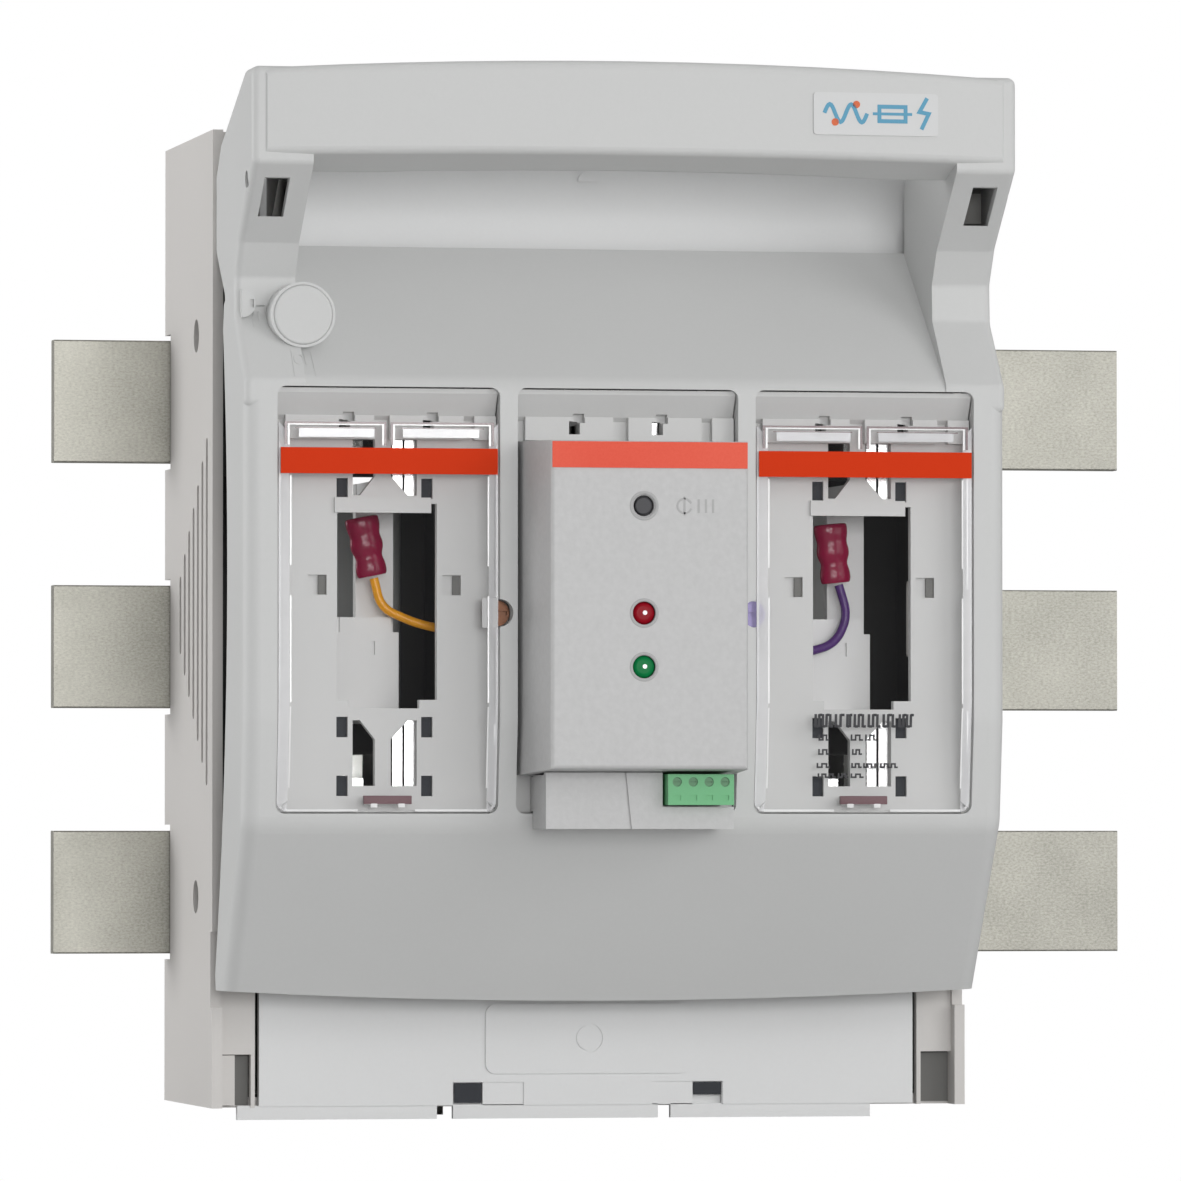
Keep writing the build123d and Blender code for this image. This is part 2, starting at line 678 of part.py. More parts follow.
def tab_holder(x):
    """Moulded block behind a carrier that holds the tab connector's blade: a foot, a column and two lugs."""
    foot = block((x - 12.0, x + 6.2), (-26.0, -19.5), (92.2, 112.9))
    foot += block((x - 12.0, x + 4.4), (-26.0, -19.5), (112.9, 116.4))
    foot -= block((x - 8.4, x - 7.9), (-27.0, -25.4), (112.9, 117.0))
    foot -= block((x - 0.3, x + 0.5), (-27.0, -25.2), (107.6, 110.8))
    foot -= block((x - 1.3, x + 0.5), (-27.0, -25.2), (107.6, 108.5))
    column = block((x - 3.6, x + 5.4), (-23.0, -19.5), (112.0, 148.0))
    low_lug = block((x - 8.0, x + 2.0), (carrier_front + carrier_thick, -25.0), (92.2, 94.6))
    top_lug = block((x - 3.3, x + 1.4), (carrier_front + carrier_thick, -22.0), (144.6, 148.0))
    return foot + column + low_lug + top_lug


def lead(route):
    """A tube along straight runs that are joined by tangent arcs."""
    radii = []
    for a, b, c in zip(route, route[1:], route[2:]):
        back, ahead = Vector(*b) - Vector(*a), Vector(*c) - Vector(*b)
        turn = back.get_angle(ahead)
        radii.append(0.45 * min(back.length, ahead.length) / tan(turn / 2 / degrees(1)))
    print("lead radii", [round(r, 1) for r in radii])
    path = FilletPolyline(*route, radius=radii)
    section = Plane(path @ 0, z_dir=path % 0) * Circle(lead_r)
    tube = sweep(section, path=path)
    print("lead volume", round(tube.volume, 2), "of", round(section.area * path.length, 2))
    return tube


left_route = [(-57.3, -28.0, 125.6), (-55.6, -28.0, 118.6), (-46.5, -28.6, 114.6), (-34.0, -29.0, 112.6),
              (-20.0, -29.6, 113.0), (-13.0, -33.0, 113.6)]
right_route = [(55.3, -28.0, 124.6), (57.6, -28.0, 117.2), (54.3, -28.4, 110.4), (44.0, -28.8, 107.6),
               (31.0, -29.2, 107.4), (20.0, -29.6, 106.4), (13.0, -33.0, 106.0)]


# ---------------------------------------------------------------- assembly

def parts():
    yield "base_housing", base_housing()
    yield "lower_shroud", lower_shroud()
    yield "upper_shroud", upper_shroud()
    for name, x in poles.items():
        yield "upper_jaw_" + name, upper_jaw(x)
        yield "lower_jaw_" + name, lower_jaw(x)
        yield "feed_bar_" + name, feed_bar(name)
        yield "busbar_hook_" + name, busbar_hook(name)
        yield "cable_clamp_" + name, cable_clamp(x)
        yield "strap_cover_" + name, strap_cover(x)
        yield "arc_chute_" + name, arc_chute(x)
        yield "fuse_carrier_" + name, fuse_carrier(name)
    for name, z in bars.items():
        yield "busbar_" + name, busbar(z)
    yield "jaw_springs", jaw_springs()
    yield "hook_screws", hook_screws()
    yield "clamp_screws", clamp_screws()
    yield "arc_plates", arc_plates()
    yield "hinge_pins", hinge_pins()
    yield "cover_shell", cover_shell()
    yield "grip_clips", grip_clips()
    for name in ("left", "right"):
        yield "window_" + name, window(poles[name])
        yield "window_band_" + name, window_band(poles[name])
    yield "monitor_housing", monitor_housing()
    yield "monitor_base", monitor_base()
    yield "monitor_band", block(about(0, monitor_half - 0.2), (monitor_front - 0.3, monitor_front),
                                (150.4, monitor_high - 0.2))
    yield "circuit_board", circuit_board()
    yield "lamp_red", lamp(red_z)
    yield "lamp_green", lamp(green_z)
    yield "test_button", test_button()
    yield "terminal_plug", terminal_plug()
    yield "plug_screws", plug_screws()
    yield "cover_screws", cover_screws()
    yield "blanking_disc", blanking_disc()
    yield "handle_label", handle_label()
    yield "tab_holder_left", tab_holder(poles["left"])
    yield "tab_holder_right", tab_holder(poles["right"])
    yield "tab_connector_left", tab_connector(-59.0, 133.0, -11.0)
    yield "tab_connector_right", tab_connector(53.9, 132.0, -6.0)
    yield "sense_lead_left", lead(left_route)
    yield "sense_lead_right", lead(right_route)


os.makedirs("parts", exist_ok=True)
for node, shape in parts():
    export_step(Pos(0, -bar_front, -bar_middle) * shape, "parts/" + node + ".step")
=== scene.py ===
import math

import bpy
from mathutils import Matrix, Vector
from mathutils.bvhtree import BVHTree


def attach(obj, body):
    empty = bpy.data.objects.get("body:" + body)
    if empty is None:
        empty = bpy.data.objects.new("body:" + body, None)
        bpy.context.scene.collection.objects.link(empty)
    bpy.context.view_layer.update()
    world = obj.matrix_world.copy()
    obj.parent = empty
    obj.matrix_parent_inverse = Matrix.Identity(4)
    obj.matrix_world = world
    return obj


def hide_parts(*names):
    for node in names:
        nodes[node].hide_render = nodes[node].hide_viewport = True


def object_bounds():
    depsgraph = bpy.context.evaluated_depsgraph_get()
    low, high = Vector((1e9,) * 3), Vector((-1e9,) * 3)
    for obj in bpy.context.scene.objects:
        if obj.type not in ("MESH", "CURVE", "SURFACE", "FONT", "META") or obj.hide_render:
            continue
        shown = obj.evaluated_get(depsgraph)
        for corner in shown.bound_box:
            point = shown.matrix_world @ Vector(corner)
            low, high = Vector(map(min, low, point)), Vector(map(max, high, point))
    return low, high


# A three-pole fuse switch disconnector hanging on its busbars. Metres,
# X to the right, Y towards the wall, Z up, origin on the middle busbar.

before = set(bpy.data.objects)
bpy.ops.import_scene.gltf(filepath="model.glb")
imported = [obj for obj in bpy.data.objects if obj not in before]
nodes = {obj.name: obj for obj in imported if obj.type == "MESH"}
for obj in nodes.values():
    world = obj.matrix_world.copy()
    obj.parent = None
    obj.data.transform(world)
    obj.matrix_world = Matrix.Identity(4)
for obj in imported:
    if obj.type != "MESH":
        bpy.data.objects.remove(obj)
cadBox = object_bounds()
print("frame loaded:", len(nodes), "nodes")

mm = 0.001
barFront = 62.0 * mm      # the housing frame's Y of the bars, and Z of the middle one
barMiddle = 111.0 * mm


# shader helpers

class Wire:
    # a socket that takes part in plain maths
    def __init__(self, finish, socket):
        self.finish = finish
        self.socket = socket

    def maths(self, operation, *values):
        return self.finish.add("ShaderNodeMath", {"operation": operation}, dict(enumerate(values)))

    def __add__(self, other):
        return self.maths("ADD", self, other)

    def __radd__(self, other):
        return self.maths("ADD", other, self)

    def __sub__(self, other):
        return self.maths("SUBTRACT", self, other)

    def __rsub__(self, other):
        return self.maths("SUBTRACT", other, self)

    def __mul__(self, other):
        return self.maths("MULTIPLY", self, other)

    def __rmul__(self, other):
        return self.maths("MULTIPLY", other, self)

    def __gt__(self, other):
        return self.maths("GREATER_THAN", self, other)

    def __lt__(self, other):
        return self.maths("LESS_THAN", self, other)

    def clamped(self):
        return self.maths("MAXIMUM", self.maths("MINIMUM", self, 1.0), 0.0)


class Finish:
    # one material and the nodes that make it
    def __init__(self, name):
        self.material = bpy.data.materials.new(name)
        self.material.use_nodes = True
        self.tree = self.material.node_tree
        self.shader = self.tree.nodes["Principled BSDF"]
        self.places = self.add("ShaderNodeTexCoord", output="Object")

    def add(self, kind, settings=None, inputs=None, output=0):
        node = self.tree.nodes.new(kind)
        for key, value in (settings or {}).items():
            if key == "stops":
                self.setStops(node, value)
            else:
                setattr(node, key, value)
        for key, value in (inputs or {}).items():
            self.feed(node.inputs[key], value)
        return Wire(self, node.outputs[output])

    def setStops(self, node, stops):
        elements = node.color_ramp.elements
        while len(elements) < len(stops):
            elements.new(0.5)
        for element, (position, colour) in zip(elements, stops):
            element.position = position
            element.color = (*colour, 1.0)

    def feed(self, socket, value):
        if isinstance(value, Wire):
            self.tree.links.new(value.socket, socket)
        elif isinstance(value, (tuple, list)) and len(value) == 3 and socket.type == "RGBA":
            socket.default_value = (*value, 1.0)
        else:
            socket.default_value = value

    def set(self, **values):
        for key, value in values.items():
            self.feed(self.shader.inputs[spaced(key)], value)

    def noise(self, scale, detail=2.0, roughness=0.5, at=None, output=0):
        return self.add("ShaderNodeTexNoise", None, {"Vector": at or self.places, "Scale": scale,
                                                     "Detail": detail, "Roughness": roughness}, output)

    def stretched(self, x, y, z):
        return self.add("ShaderNodeMapping", None, {"Vector": self.places, "Scale": (x, y, z)})

    def blended(self, amount, low, high):
        return self.add("ShaderNodeMix", {"data_type": "RGBA"},
                        {"Factor": amount, 6: low, 7: high}, 2)

    def bump(self, height, distance, strength=1.0, below=None):
        inputs = {"Height": height, "Distance": distance, "Strength": strength}
        if below:
            inputs["Normal"] = below
        return self.add("ShaderNodeBump", None, inputs)

    def between(self, value, low, high):
        return self.add("ShaderNodeMapRange", None, {"Value": value, "To Min": low, "To Max": high})


def spaced(key):
    # baseColor -> Base Color
    named = {"ior": "IOR", "transmission": "Transmission Weight", "coat": "Coat Weight",
             "coatRoughness": "Coat Roughness", "specular": "Specular IOR Level",
             "emission": "Emission Color", "emissionStrength": "Emission Strength",
             "baseColor": "Base Color", "subsurface": "Subsurface Weight"}
    return named.get(key, key[0].upper() + key[1:])


def shade(colour, factor):
    return tuple(min(1.0, part * factor) for part in colour)


# finishes

def insideBox(finish, box):
    # 1 within the box, given by its low and high corners, and 0 outside it
    result = 1.0
    for axis, (low, high) in enumerate(zip(*box)):
        along = finish.add("ShaderNodeSeparateXYZ", None, {0: finish.places}, axis)
        result = (along > low) * (along < high) * result
    return result


def mouldedPlastic(name, colour, grain=0.35 * mm, depth=0.02 * mm, rough=0.48, specks=0.03, gloss=0.42,
                   inner=None):
    # inner is a second colour and the box that it fills; the housing uses it for painted shade on its inside
    finish = Finish(name)
    broad = finish.noise(18.0, 3.0)
    tint = finish.blended(finish.between(broad, 0.0, 1.0), shade(colour, 0.965), shade(colour, 1.03))
    spots = finish.noise(0.42 / grain, 1.0)
    dark = finish.between(spots, 0.0, 1.0)
    tint = finish.blended(dark * specks * 2.0, tint, shade(colour, 0.62))
    if inner:
        tint = finish.blended(insideBox(finish, inner[1]), tint, inner[0])
    fine = finish.noise(1.0 / grain, 2.0, 0.6)
    finish.set(baseColor=tint, roughness=finish.between(broad + fine * 0.5, rough - 0.07, rough + 0.10),
               specular=gloss, normal=finish.bump(fine, depth, 0.55))
    return finish.material


def printedFilm(name, colour, light, speck, gloss=0.2):
    finish = Finish(name)
    fine = finish.noise(2600.0, 2.0, 0.7)
    broad = finish.noise(40.0, 2.0)
    amount = finish.between(fine, 0.5 - speck, 0.5 + speck)
    finish.set(baseColor=finish.blended(amount * 0.5 + broad * 0.25, colour, light),
               roughness=finish.between(fine, 0.38, 0.52), specular=gloss,
               normal=finish.bump(fine, 0.008 * mm, 0.4))
    return finish.material


def tinnedMetal(name, colour, dark, grain, rough=0.42, metallic=0.85):
    # dull plated metal with fine crystals drawn along the bar
    finish = Finish(name)
    crystals = finish.noise(1.0 / grain, 3.0, 0.75, at=finish.stretched(0.55, 1.0, 1.0))
    clouds = finish.noise(55.0, 4.0, 0.6)
    scratches = finish.noise(900.0, 2.0, 0.5, at=finish.stretched(0.06, 1.0, 1.0))
    amount = finish.between(crystals, -0.45, 1.35) + (clouds - 0.5) * 0.5
    tint = finish.blended(amount.clamped(), dark, colour)
    height = crystals * 0.6 + scratches * 0.4
    finish.set(baseColor=tint, metallic=metallic,
               roughness=finish.between(crystals, rough - 0.1, rough + 0.14),
               normal=finish.bump(height, 0.02 * mm, 0.5))
    return finish.material


def brightMetal(name, colour, rough, grain=0.3 * mm, brushed=(1.0, 1.0, 0.08)):
    finish = Finish(name)
    lines = finish.noise(1.0 / grain, 2.0, 0.6, at=finish.stretched(*brushed))
    stains = finish.noise(120.0, 3.0)
    finish.set(baseColor=finish.blended(finish.between(stains, 0.0, 1.0), shade(colour, 0.78), colour),
               metallic=1.0, roughness=finish.between(lines, rough - 0.05, rough + 0.12),
               normal=finish.bump(lines, 0.01 * mm, 0.35))
    return finish.material


def twoTone(name, colour, foot, level):
    # dark moulding whose lips, below the level, are pale
    finish = Finish(name)
    height = finish.add("ShaderNodeSeparateXYZ", None, {0: finish.places}, 2)
    grain = finish.noise(1800.0, 2.0)
    dark = finish.blended(grain, shade(colour, 0.7), shade(colour, 1.3))
    pale = finish.blended(grain, shade(foot, 0.97), shade(foot, 1.02))
    finish.set(baseColor=finish.blended(height < level, dark, pale), specular=0.12,
               roughness=finish.between(grain, 0.42, 0.56), normal=finish.bump(grain, 0.02 * mm, 0.4))
    return finish.material


def twoScrews(name, left, right):
    # the two cover screws: dark brown on the left; on the right a painted reflection, a grey-violet patch
    finish = Finish(name)
    sides = finish.add("ShaderNodeSeparateXYZ", None, {0: finish.places})
    stains = finish.noise(700.0, 2.0)
    brown = finish.blended(stains, shade(left, 0.5), shade(left, 1.5))
    violetReflection = finish.blended(stains, shade(right, 0.8), shade(right, 1.2))
    finish.set(baseColor=finish.blended(sides > 0.0, brown, violetReflection), metallic=0.5,
               roughness=finish.between(stains, 0.3, 0.45), normal=finish.bump(stains, 0.02 * mm, 0.4))
    return finish.material


def clearPlastic(name, colour, cover, rough=0.04, gloss=0.8):
    # clear moulding: cover is how much of what lies behind it is veiled
    finish = Finish(name)
    waves = finish.noise(60.0, 2.0)
    smears = finish.noise(35.0, 4.0, 0.6)
    finish.set(baseColor=finish.blended(smears, shade(colour, 0.94), colour), ior=1.49, specular=gloss,
               alpha=finish.between(smears, cover * 0.75, cover * 1.25),
               roughness=finish.between(smears, rough, rough + 0.05),
               normal=finish.bump(waves, 0.05 * mm, 0.15))
    return finish.material


def litLens(name, colour, glow):
    finish = Finish(name)
    pips = finish.noise(1500.0, 1.0)
    finish.set(baseColor=finish.blended(finish.between(pips, 0.0, 1.0), shade(colour, 0.8), colour),
               roughness=0.3, specular=0.1, emission=colour, emissionStrength=glow,
               normal=finish.bump(pips, 0.01 * mm, 0.2))
    return finish.material


def insulatedWire(name, colour, coat=0.25, gloss=0.2):
    finish = Finish(name)
    marks = finish.noise(420.0, 2.0)
    worn = finish.blended(finish.between(marks, 0.0, 1.0), shade(colour, 0.82), shade(colour, 1.1))
    finish.set(baseColor=worn,
               roughness=finish.between(marks, 0.28, 0.42), specular=gloss, coat=coat, coatRoughness=0.12,
               normal=finish.bump(marks, 0.02 * mm, 0.3))
    return finish.material


def circuitLaminate(name, colour):
    finish = Finish(name)
    weave = finish.add("ShaderNodeTexChecker", None, {"Vector": finish.places, "Scale": 1600.0}, 1)
    copper = finish.noise(160.0, 2.0) > 0.58
    tint = finish.blended(copper * 0.6 + weave * 0.1, colour, shade(colour, 1.7))
    finish.set(baseColor=tint, roughness=0.35, normal=finish.bump(copper, 0.02 * mm, 0.5))
    return finish.material


coverGrey = (0.625, 0.63, 0.625)
coverPlastic = mouldedPlastic("cover_plastic", coverGrey, rough=0.50)
housingGrey = (0.66, 0.64, 0.62)
# painted shade: the housing's inside, behind its openings, is near black where its walls lie in shade
housingInnerShade = ((0.055, 0.055, 0.055), ((-0.0896, -0.0585, -0.1086), (0.0896, -0.0035, 0.1196)))
housingPlastic = mouldedPlastic("housing_plastic", housingGrey, rough=0.52, inner=housingInnerShade)
shroudGrey = (0.76, 0.765, 0.765)
shroudPlastic = mouldedPlastic("shroud_plastic", shroudGrey, rough=0.46)
carrierPlastic = mouldedPlastic("carrier_plastic", (0.62, 0.62, 0.615), grain=0.5 * mm, rough=0.5)
monitorPlastic = mouldedPlastic("monitor_plastic", (0.585, 0.585, 0.585), grain=0.55 * mm, depth=0.05 * mm,
                                rough=0.42, specks=0.16)
insulatorPlastic = mouldedPlastic("insulator_plastic", (0.50, 0.51, 0.50), rough=0.55)
holderPlastic = mouldedPlastic("holder_plastic", (0.80, 0.80, 0.795), grain=0.5 * mm, rough=0.5)
chutePlastic = twoTone("chute_plastic", (0.014, 0.013, 0.013), shroudGrey, -barMiddle)
blackPlastic = mouldedPlastic("black_plastic", (0.045, 0.045, 0.05), rough=0.4)
plugGreen = mouldedPlastic("plug_green", (0.15, 0.49, 0.22), rough=0.38, specks=0.05)
labelWhite = mouldedPlastic("label_white", (0.66, 0.665, 0.665), grain=0.25 * mm, rough=0.4, specks=0.01)
bandRed = printedFilm("band_red", (0.64, 0.034, 0.002), (0.70, 0.045, 0.006), 0.5, 0.06)
bandCoral = printedFilm("band_coral", (0.74, 0.055, 0.03), (0.98, 0.23, 0.15), 0.28, 0.1)
tinnedCopper = tinnedMetal("tinned_copper", (0.50, 0.485, 0.435), (0.19, 0.19, 0.165), 0.45 * mm)
silverPlated = brightMetal("silver_plated_copper", (0.86, 0.86, 0.84), 0.16)
steelMetal = brightMetal("steel", (0.55, 0.55, 0.55), 0.32)
springSteel = brightMetal("spring_steel", (0.68, 0.68, 0.68), 0.2)
# the right screw's grey-violet is a painted reflection
screwsAndReflection = twoScrews("brass", (0.12, 0.045, 0.018), (0.22, 0.19, 0.34))
plugScrew = mouldedPlastic("plug_screw", (0.10, 0.27, 0.13), rough=0.35)
pocketShade = mouldedPlastic("pocket_shade", (0.17, 0.168, 0.16), rough=0.6)
openingShade = mouldedPlastic("opening_shade", (0.05, 0.053, 0.06), rough=0.6, gloss=0.1)
clearWindow = clearPlastic("clear_plastic", (0.90, 0.90, 0.92), 0.006, gloss=0.15)
# painted highlight: whiter and less clear than the pane, for its bevelled border and the strips under the
# tongues
clearEdgeHighlight = clearPlastic("clear_edge_painted_highlight", (0.97, 0.97, 0.99), 0.55)
# painted highlight: near-opaque white for window rims, glints and tongue outlines, the latch prongs and the
# lamp glints
clearHighlight = clearPlastic("clear_painted_highlight", (1.0, 1.0, 1.0), 0.92, 0.15)
# painted reflection: an opaque grey band on the left pane's edge, over the cover screw
clearEdgeReflection = clearPlastic("painted_edge_reflection", (0.60, 0.60, 0.60), 0.95, 0.3, 0.4)
latchTint = printedFilm("latch_tint", (0.05, 0.018, 0.024), (0.42, 0.27, 0.29), 0.1)
tongueLine = clearPlastic("tongue_line", (0.20, 0.13, 0.14), 0.8, 0.2)
printInk = mouldedPlastic("print_ink", (0.05, 0.05, 0.055), grain=0.2 * mm, rough=0.5)
emblemBlue = printedFilm("emblem_blue", (0.10, 0.32, 0.48), (0.16, 0.42, 0.58), 0.4)
emblemOrange = printedFilm("emblem_orange", (0.68, 0.13, 0.05), (0.80, 0.22, 0.10), 0.4)
markGrey = mouldedPlastic("mark_grey", (0.44, 0.44, 0.44), grain=0.25 * mm, rough=0.5)
lampRed = litLens("lamp_red", (0.30, 0.003, 0.012), 0.02)
lampGreen = litLens("lamp_green", (0.003, 0.20, 0.055), 0.02)
boardGreen = circuitLaminate("board_green", (0.03, 0.16, 0.06))
tabInsulation = insulatedWire("tab_insulation", (0.24, 0.003, 0.038), 0.35, 0.08)
leadYellow = insulatedWire("lead_yellow", (0.85, 0.36, 0.012))
leadViolet = insulatedWire("lead_violet", (0.085, 0.028, 0.17))
print("finishes made")

finishOfNode = {
    "base_housing": housingPlastic, "lower_shroud": shroudPlastic, "upper_shroud": shroudPlastic,
    "upper_jaw": silverPlated, "lower_jaw": silverPlated, "feed_bar": tinnedCopper,
    "busbar_hook": tinnedCopper, "cable_clamp": steelMetal, "strap_cover": insulatorPlastic,
    "arc_chute": chutePlastic, "tab_holder": holderPlastic,
    "fuse_carrier": carrierPlastic, "busbar": tinnedCopper,
    "jaw_springs": springSteel, "hook_screws": steelMetal, "clamp_screws": steelMetal,
    "arc_plates": steelMetal, "hinge_pins": steelMetal, "cover_shell": coverPlastic,
    "grip_clips": springSteel, "window_band": bandRed, "window": clearWindow,
    "monitor_housing": monitorPlastic, "monitor_base": monitorPlastic, "monitor_band": bandCoral,
    "circuit_board": boardGreen, "lamp_red": lampRed, "lamp_green": lampGreen,
    "test_button": blackPlastic, "terminal_plug": plugGreen, "plug_screws": plugScrew,
    "cover_screws": screwsAndReflection, "blanking_disc": coverPlastic, "handle_label": labelWhite,
    "tab_connector": tabInsulation, "sense_lead_left": leadYellow, "sense_lead_right": leadViolet,
}
for name, node in nodes.items():
    fits = [key for key in finishOfNode if name.startswith(key)]
    node.data.materials.clear()
    node.data.materials.append(finishOfNode[max(fits, key=len)])
print("nodes given their finishes")


# modelling helpers

def at(x, y, z):
    # a place given in the housing's own millimetres
    return Vector((x * mm, y * mm - barFront, z * mm - barMiddle))


def clearSelection():
    if bpy.context.object and bpy.context.object.mode != "OBJECT":
        bpy.ops.object.mode_set(mode="OBJECT")
    bpy.ops.object.select_all(action="DESELECT")


def addBlock(name, low, high):
    clearSelection()
    low, high = at(*low), at(*high)
    bpy.ops.mesh.primitive_cube_add(size=1.0, location=(low + high) / 2, scale=high - low)
    bpy.ops.object.transform_apply(location=True, rotation=True, scale=True)
    bpy.context.object.name = name
    return bpy.context.object


def pick(piece, test, kind="FACE"):
    # selects faces or edges by their middle and their direction, and opens edit mode
    bpy.ops.object.mode_set(mode="OBJECT")
    mesh = piece.data
    for group in (mesh.vertices, mesh.edges, mesh.polygons):
        group.foreach_set("select", [False] * len(group))
    bpy.context.tool_settings.mesh_select_mode = (kind == "VERT", kind == "EDGE", kind == "FACE")
    if kind == "FACE":
        for face in mesh.polygons:
            face.select = test(face.center, face.normal)
    elif kind == "EDGE":
        for edge in mesh.edges:
            start, end = (mesh.vertices[i].co for i in edge.vertices)
            edge.select = test((start + end) / 2, (end - start).normalized())
    else:
        for vertex in mesh.vertices:
            vertex.select = test(vertex.co, vertex.normal)
    bpy.ops.object.mode_set(mode="EDIT")


def finishPiece(piece, material, body, replaced=(), angle=35.0):
    bpy.ops.object.mode_set(mode="OBJECT")
    clearSelection()
    piece.select_set(True)
    bpy.context.view_layer.objects.active = piece
    bpy.ops.object.mode_set(mode="EDIT")
    bpy.ops.mesh.select_all(action="SELECT")
    bpy.ops.mesh.remove_doubles(threshold=1e-6)
    bpy.ops.mesh.normals_make_consistent(inside=False)
    bpy.ops.object.mode_set(mode="OBJECT")
    bpy.ops.object.shade_smooth_by_angle(angle=math.radians(angle))
    if not piece.data.materials:
        piece.data.materials.append(material)
    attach(piece, body)
    if replaced:
        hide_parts(*replaced)
    return piece


def applyModifier(piece, kind, **settings):
    bpy.ops.object.mode_set(mode="OBJECT")
    clearSelection()
    piece.select_set(True)
    bpy.context.view_layer.objects.active = piece
    modifier = piece.modifiers.new(kind, kind)
    for key, value in settings.items():
        setattr(modifier, key, value)
    bpy.ops.object.modifier_apply(modifier=modifier.name)


def joinPieces(name, pieces):
    clearSelection()
    for piece in pieces:
        piece.select_set(True)
    bpy.context.view_layer.objects.active = pieces[0]
    if len(pieces) > 1:
        bpy.ops.object.join()
    pieces[0].name = name
    return pieces[0]


surfaces = {}


def surfaceAt(nodeName, x, z):
    # Y in millimetres of the node's front face at that place
    if nodeName not in surfaces:
        mesh = nodes[nodeName].data
        surfaces[nodeName] = BVHTree.FromPolygons([v.co for v in mesh.vertices],
                                                  [p.vertices for p in mesh.polygons])
    start = at(x, -150.0, z)
    hit = surfaces[nodeName].ray_cast(start, Vector((0, 1, 0)))
    return (hit[0].y + barFront) / mm if hit[0] else None


def ribbon(points, width, closed=False):
    # the two edges of a flat stroke drawn through points in X and Z
    count = len(points)
    left, right = [], []
    for i, point in enumerate(points):
        before = points[i - 1] if i or closed else point
        after = points[(i + 1) % count] if i < count - 1 or closed else point
        ahead = (Vector(after) - Vector(point)).normalized() if after != point else None
        back = (Vector(point) - Vector(before)).normalized() if before != point else None
        ahead, back = ahead or back, back or ahead
        normal = Vector((-(ahead.y + back.y), ahead.x + back.x)).normalized()
        reach = width / 2 / max(0.5, normal.dot(Vector((-ahead.y, ahead.x))))
        left.append(Vector(point) + normal * reach)
        right.append(Vector(point) - normal * reach)
    return left, right


def drawStroke(name, points, width, heightAt, thick=0.15, closed=False):
    # a raised line that lies on the surface whose Y heightAt(x, z) gives
    left, right = ribbon(points, width, closed)
    count = len(points)
    vertices = [at(p.x, heightAt(p.x, p.y) - thick, p.y) for p in left + right]
    vertices += [at(p.x, heightAt(p.x, p.y) + 0.05, p.y) for p in left + right]
    faces = []
    for i in range(count if closed else count - 1):
        a, b = i, (i + 1) % count
        faces.append((a, b, b + count, a + count))
        faces.append((a + 2 * count, a + 3 * count, b + 3 * count, b + 2 * count))
        faces.append((a, a + 2 * count, b + 2 * count, b))
        faces.append((a + count, b + count, b + 3 * count, a + 3 * count))
    if not closed:
        for i in (0, count - 1):
            faces.append((i, i + count, i + 3 * count, i + 2 * count))
    mesh = bpy.data.meshes.new(name)
    mesh.from_pydata(vertices, [], faces)
    piece = bpy.data.objects.new(name, mesh)
    bpy.context.scene.collection.objects.link(piece)
    return piece


def arcPoints(x, z, radius, start, end, steps=16):
    angles = [math.radians(start + (end - start) * i / steps) for i in range(steps + 1)]
    return [(x + radius * math.cos(a), z + radius * math.sin(a)) for a in angles]


def withSpans(points, closed=True, longest=3.0):
    # more points along long runs, so that a stroke can follow a curved surface
    result = []
    pairs = list(zip(points, points[1:] + points[:1])) if closed else list(zip(points, points[1:]))
    for start, end in pairs:
        count = max(1, math.ceil((Vector(end) - Vector(start)).length / longest))
        result += [tuple(Vector(start).lerp(Vector(end), i / count)) for i in range(count)]
    return result if closed else result + [points[-1]]


# clear windows: a crowned pane with a bevelled border, painted highlights along its edges, two tongues and a
# latch

window = {
    "poleX": {"left": -57.2, "right": 57.2},
    "half": 26.1,
    "low": 70.5,
    "high": 161.5,
    "bend": 96.0,
    "front": -47.9,
    "footFront": -45.0,
    "thick": 1.5,
    "border": 2.4,
    "borderDrop": 1.5,
    "corner": 2.2,
    "notch": 6.8,               # half of the gap in the lower rim, where the latch sits
    "rim": {"width": 0.55, "behind": 1.05, "thick": 0.12, "end": 156.5},
    "glint": {"width": 0.33, "left": 2.7, "right": 2.5,
              "runs": ((149.0, 128.0), (121.0, 96.0), (95.0, 76.0))},
    "tongue": {"width": 0.44, "foot": 156.2, "top": 161.1, "spans": ((-23.9, -1.5), (1.1, 24.0))},
    "glare": {"width": 2.3, "height": 159.2, "spans": ((-21.5, -3.6), (3.2, 21.4)),
              "behind": 0.02, "thick": 0.06},
    "line": {"width": 0.5, "top": 161.4, "spans": ((-24.6, -1.0), (0.6, 24.7)), "behind": 0.04,
             "inner": {"width": 0.22, "height": 160.2, "inset": 2.2}},
    "veil": {"width": 3.6, "inset": 2.1, "run": (113.6, 120.6), "behind": 0.5},
    "strokeStep": 6.0,
    "behind": 0.06,             # glints and tongues are laid this far behind the pane's face
    "raised": 0.1,              # and strokes stand out this far from where they are laid
}


def paneFront(x, z):
    if z >= window["bend"]:
        return window["front"]
    share = (window["bend"] - z) / (window["bend"] - window["low"])
    return window["front"] + (window["footFront"] - window["front"]) * share


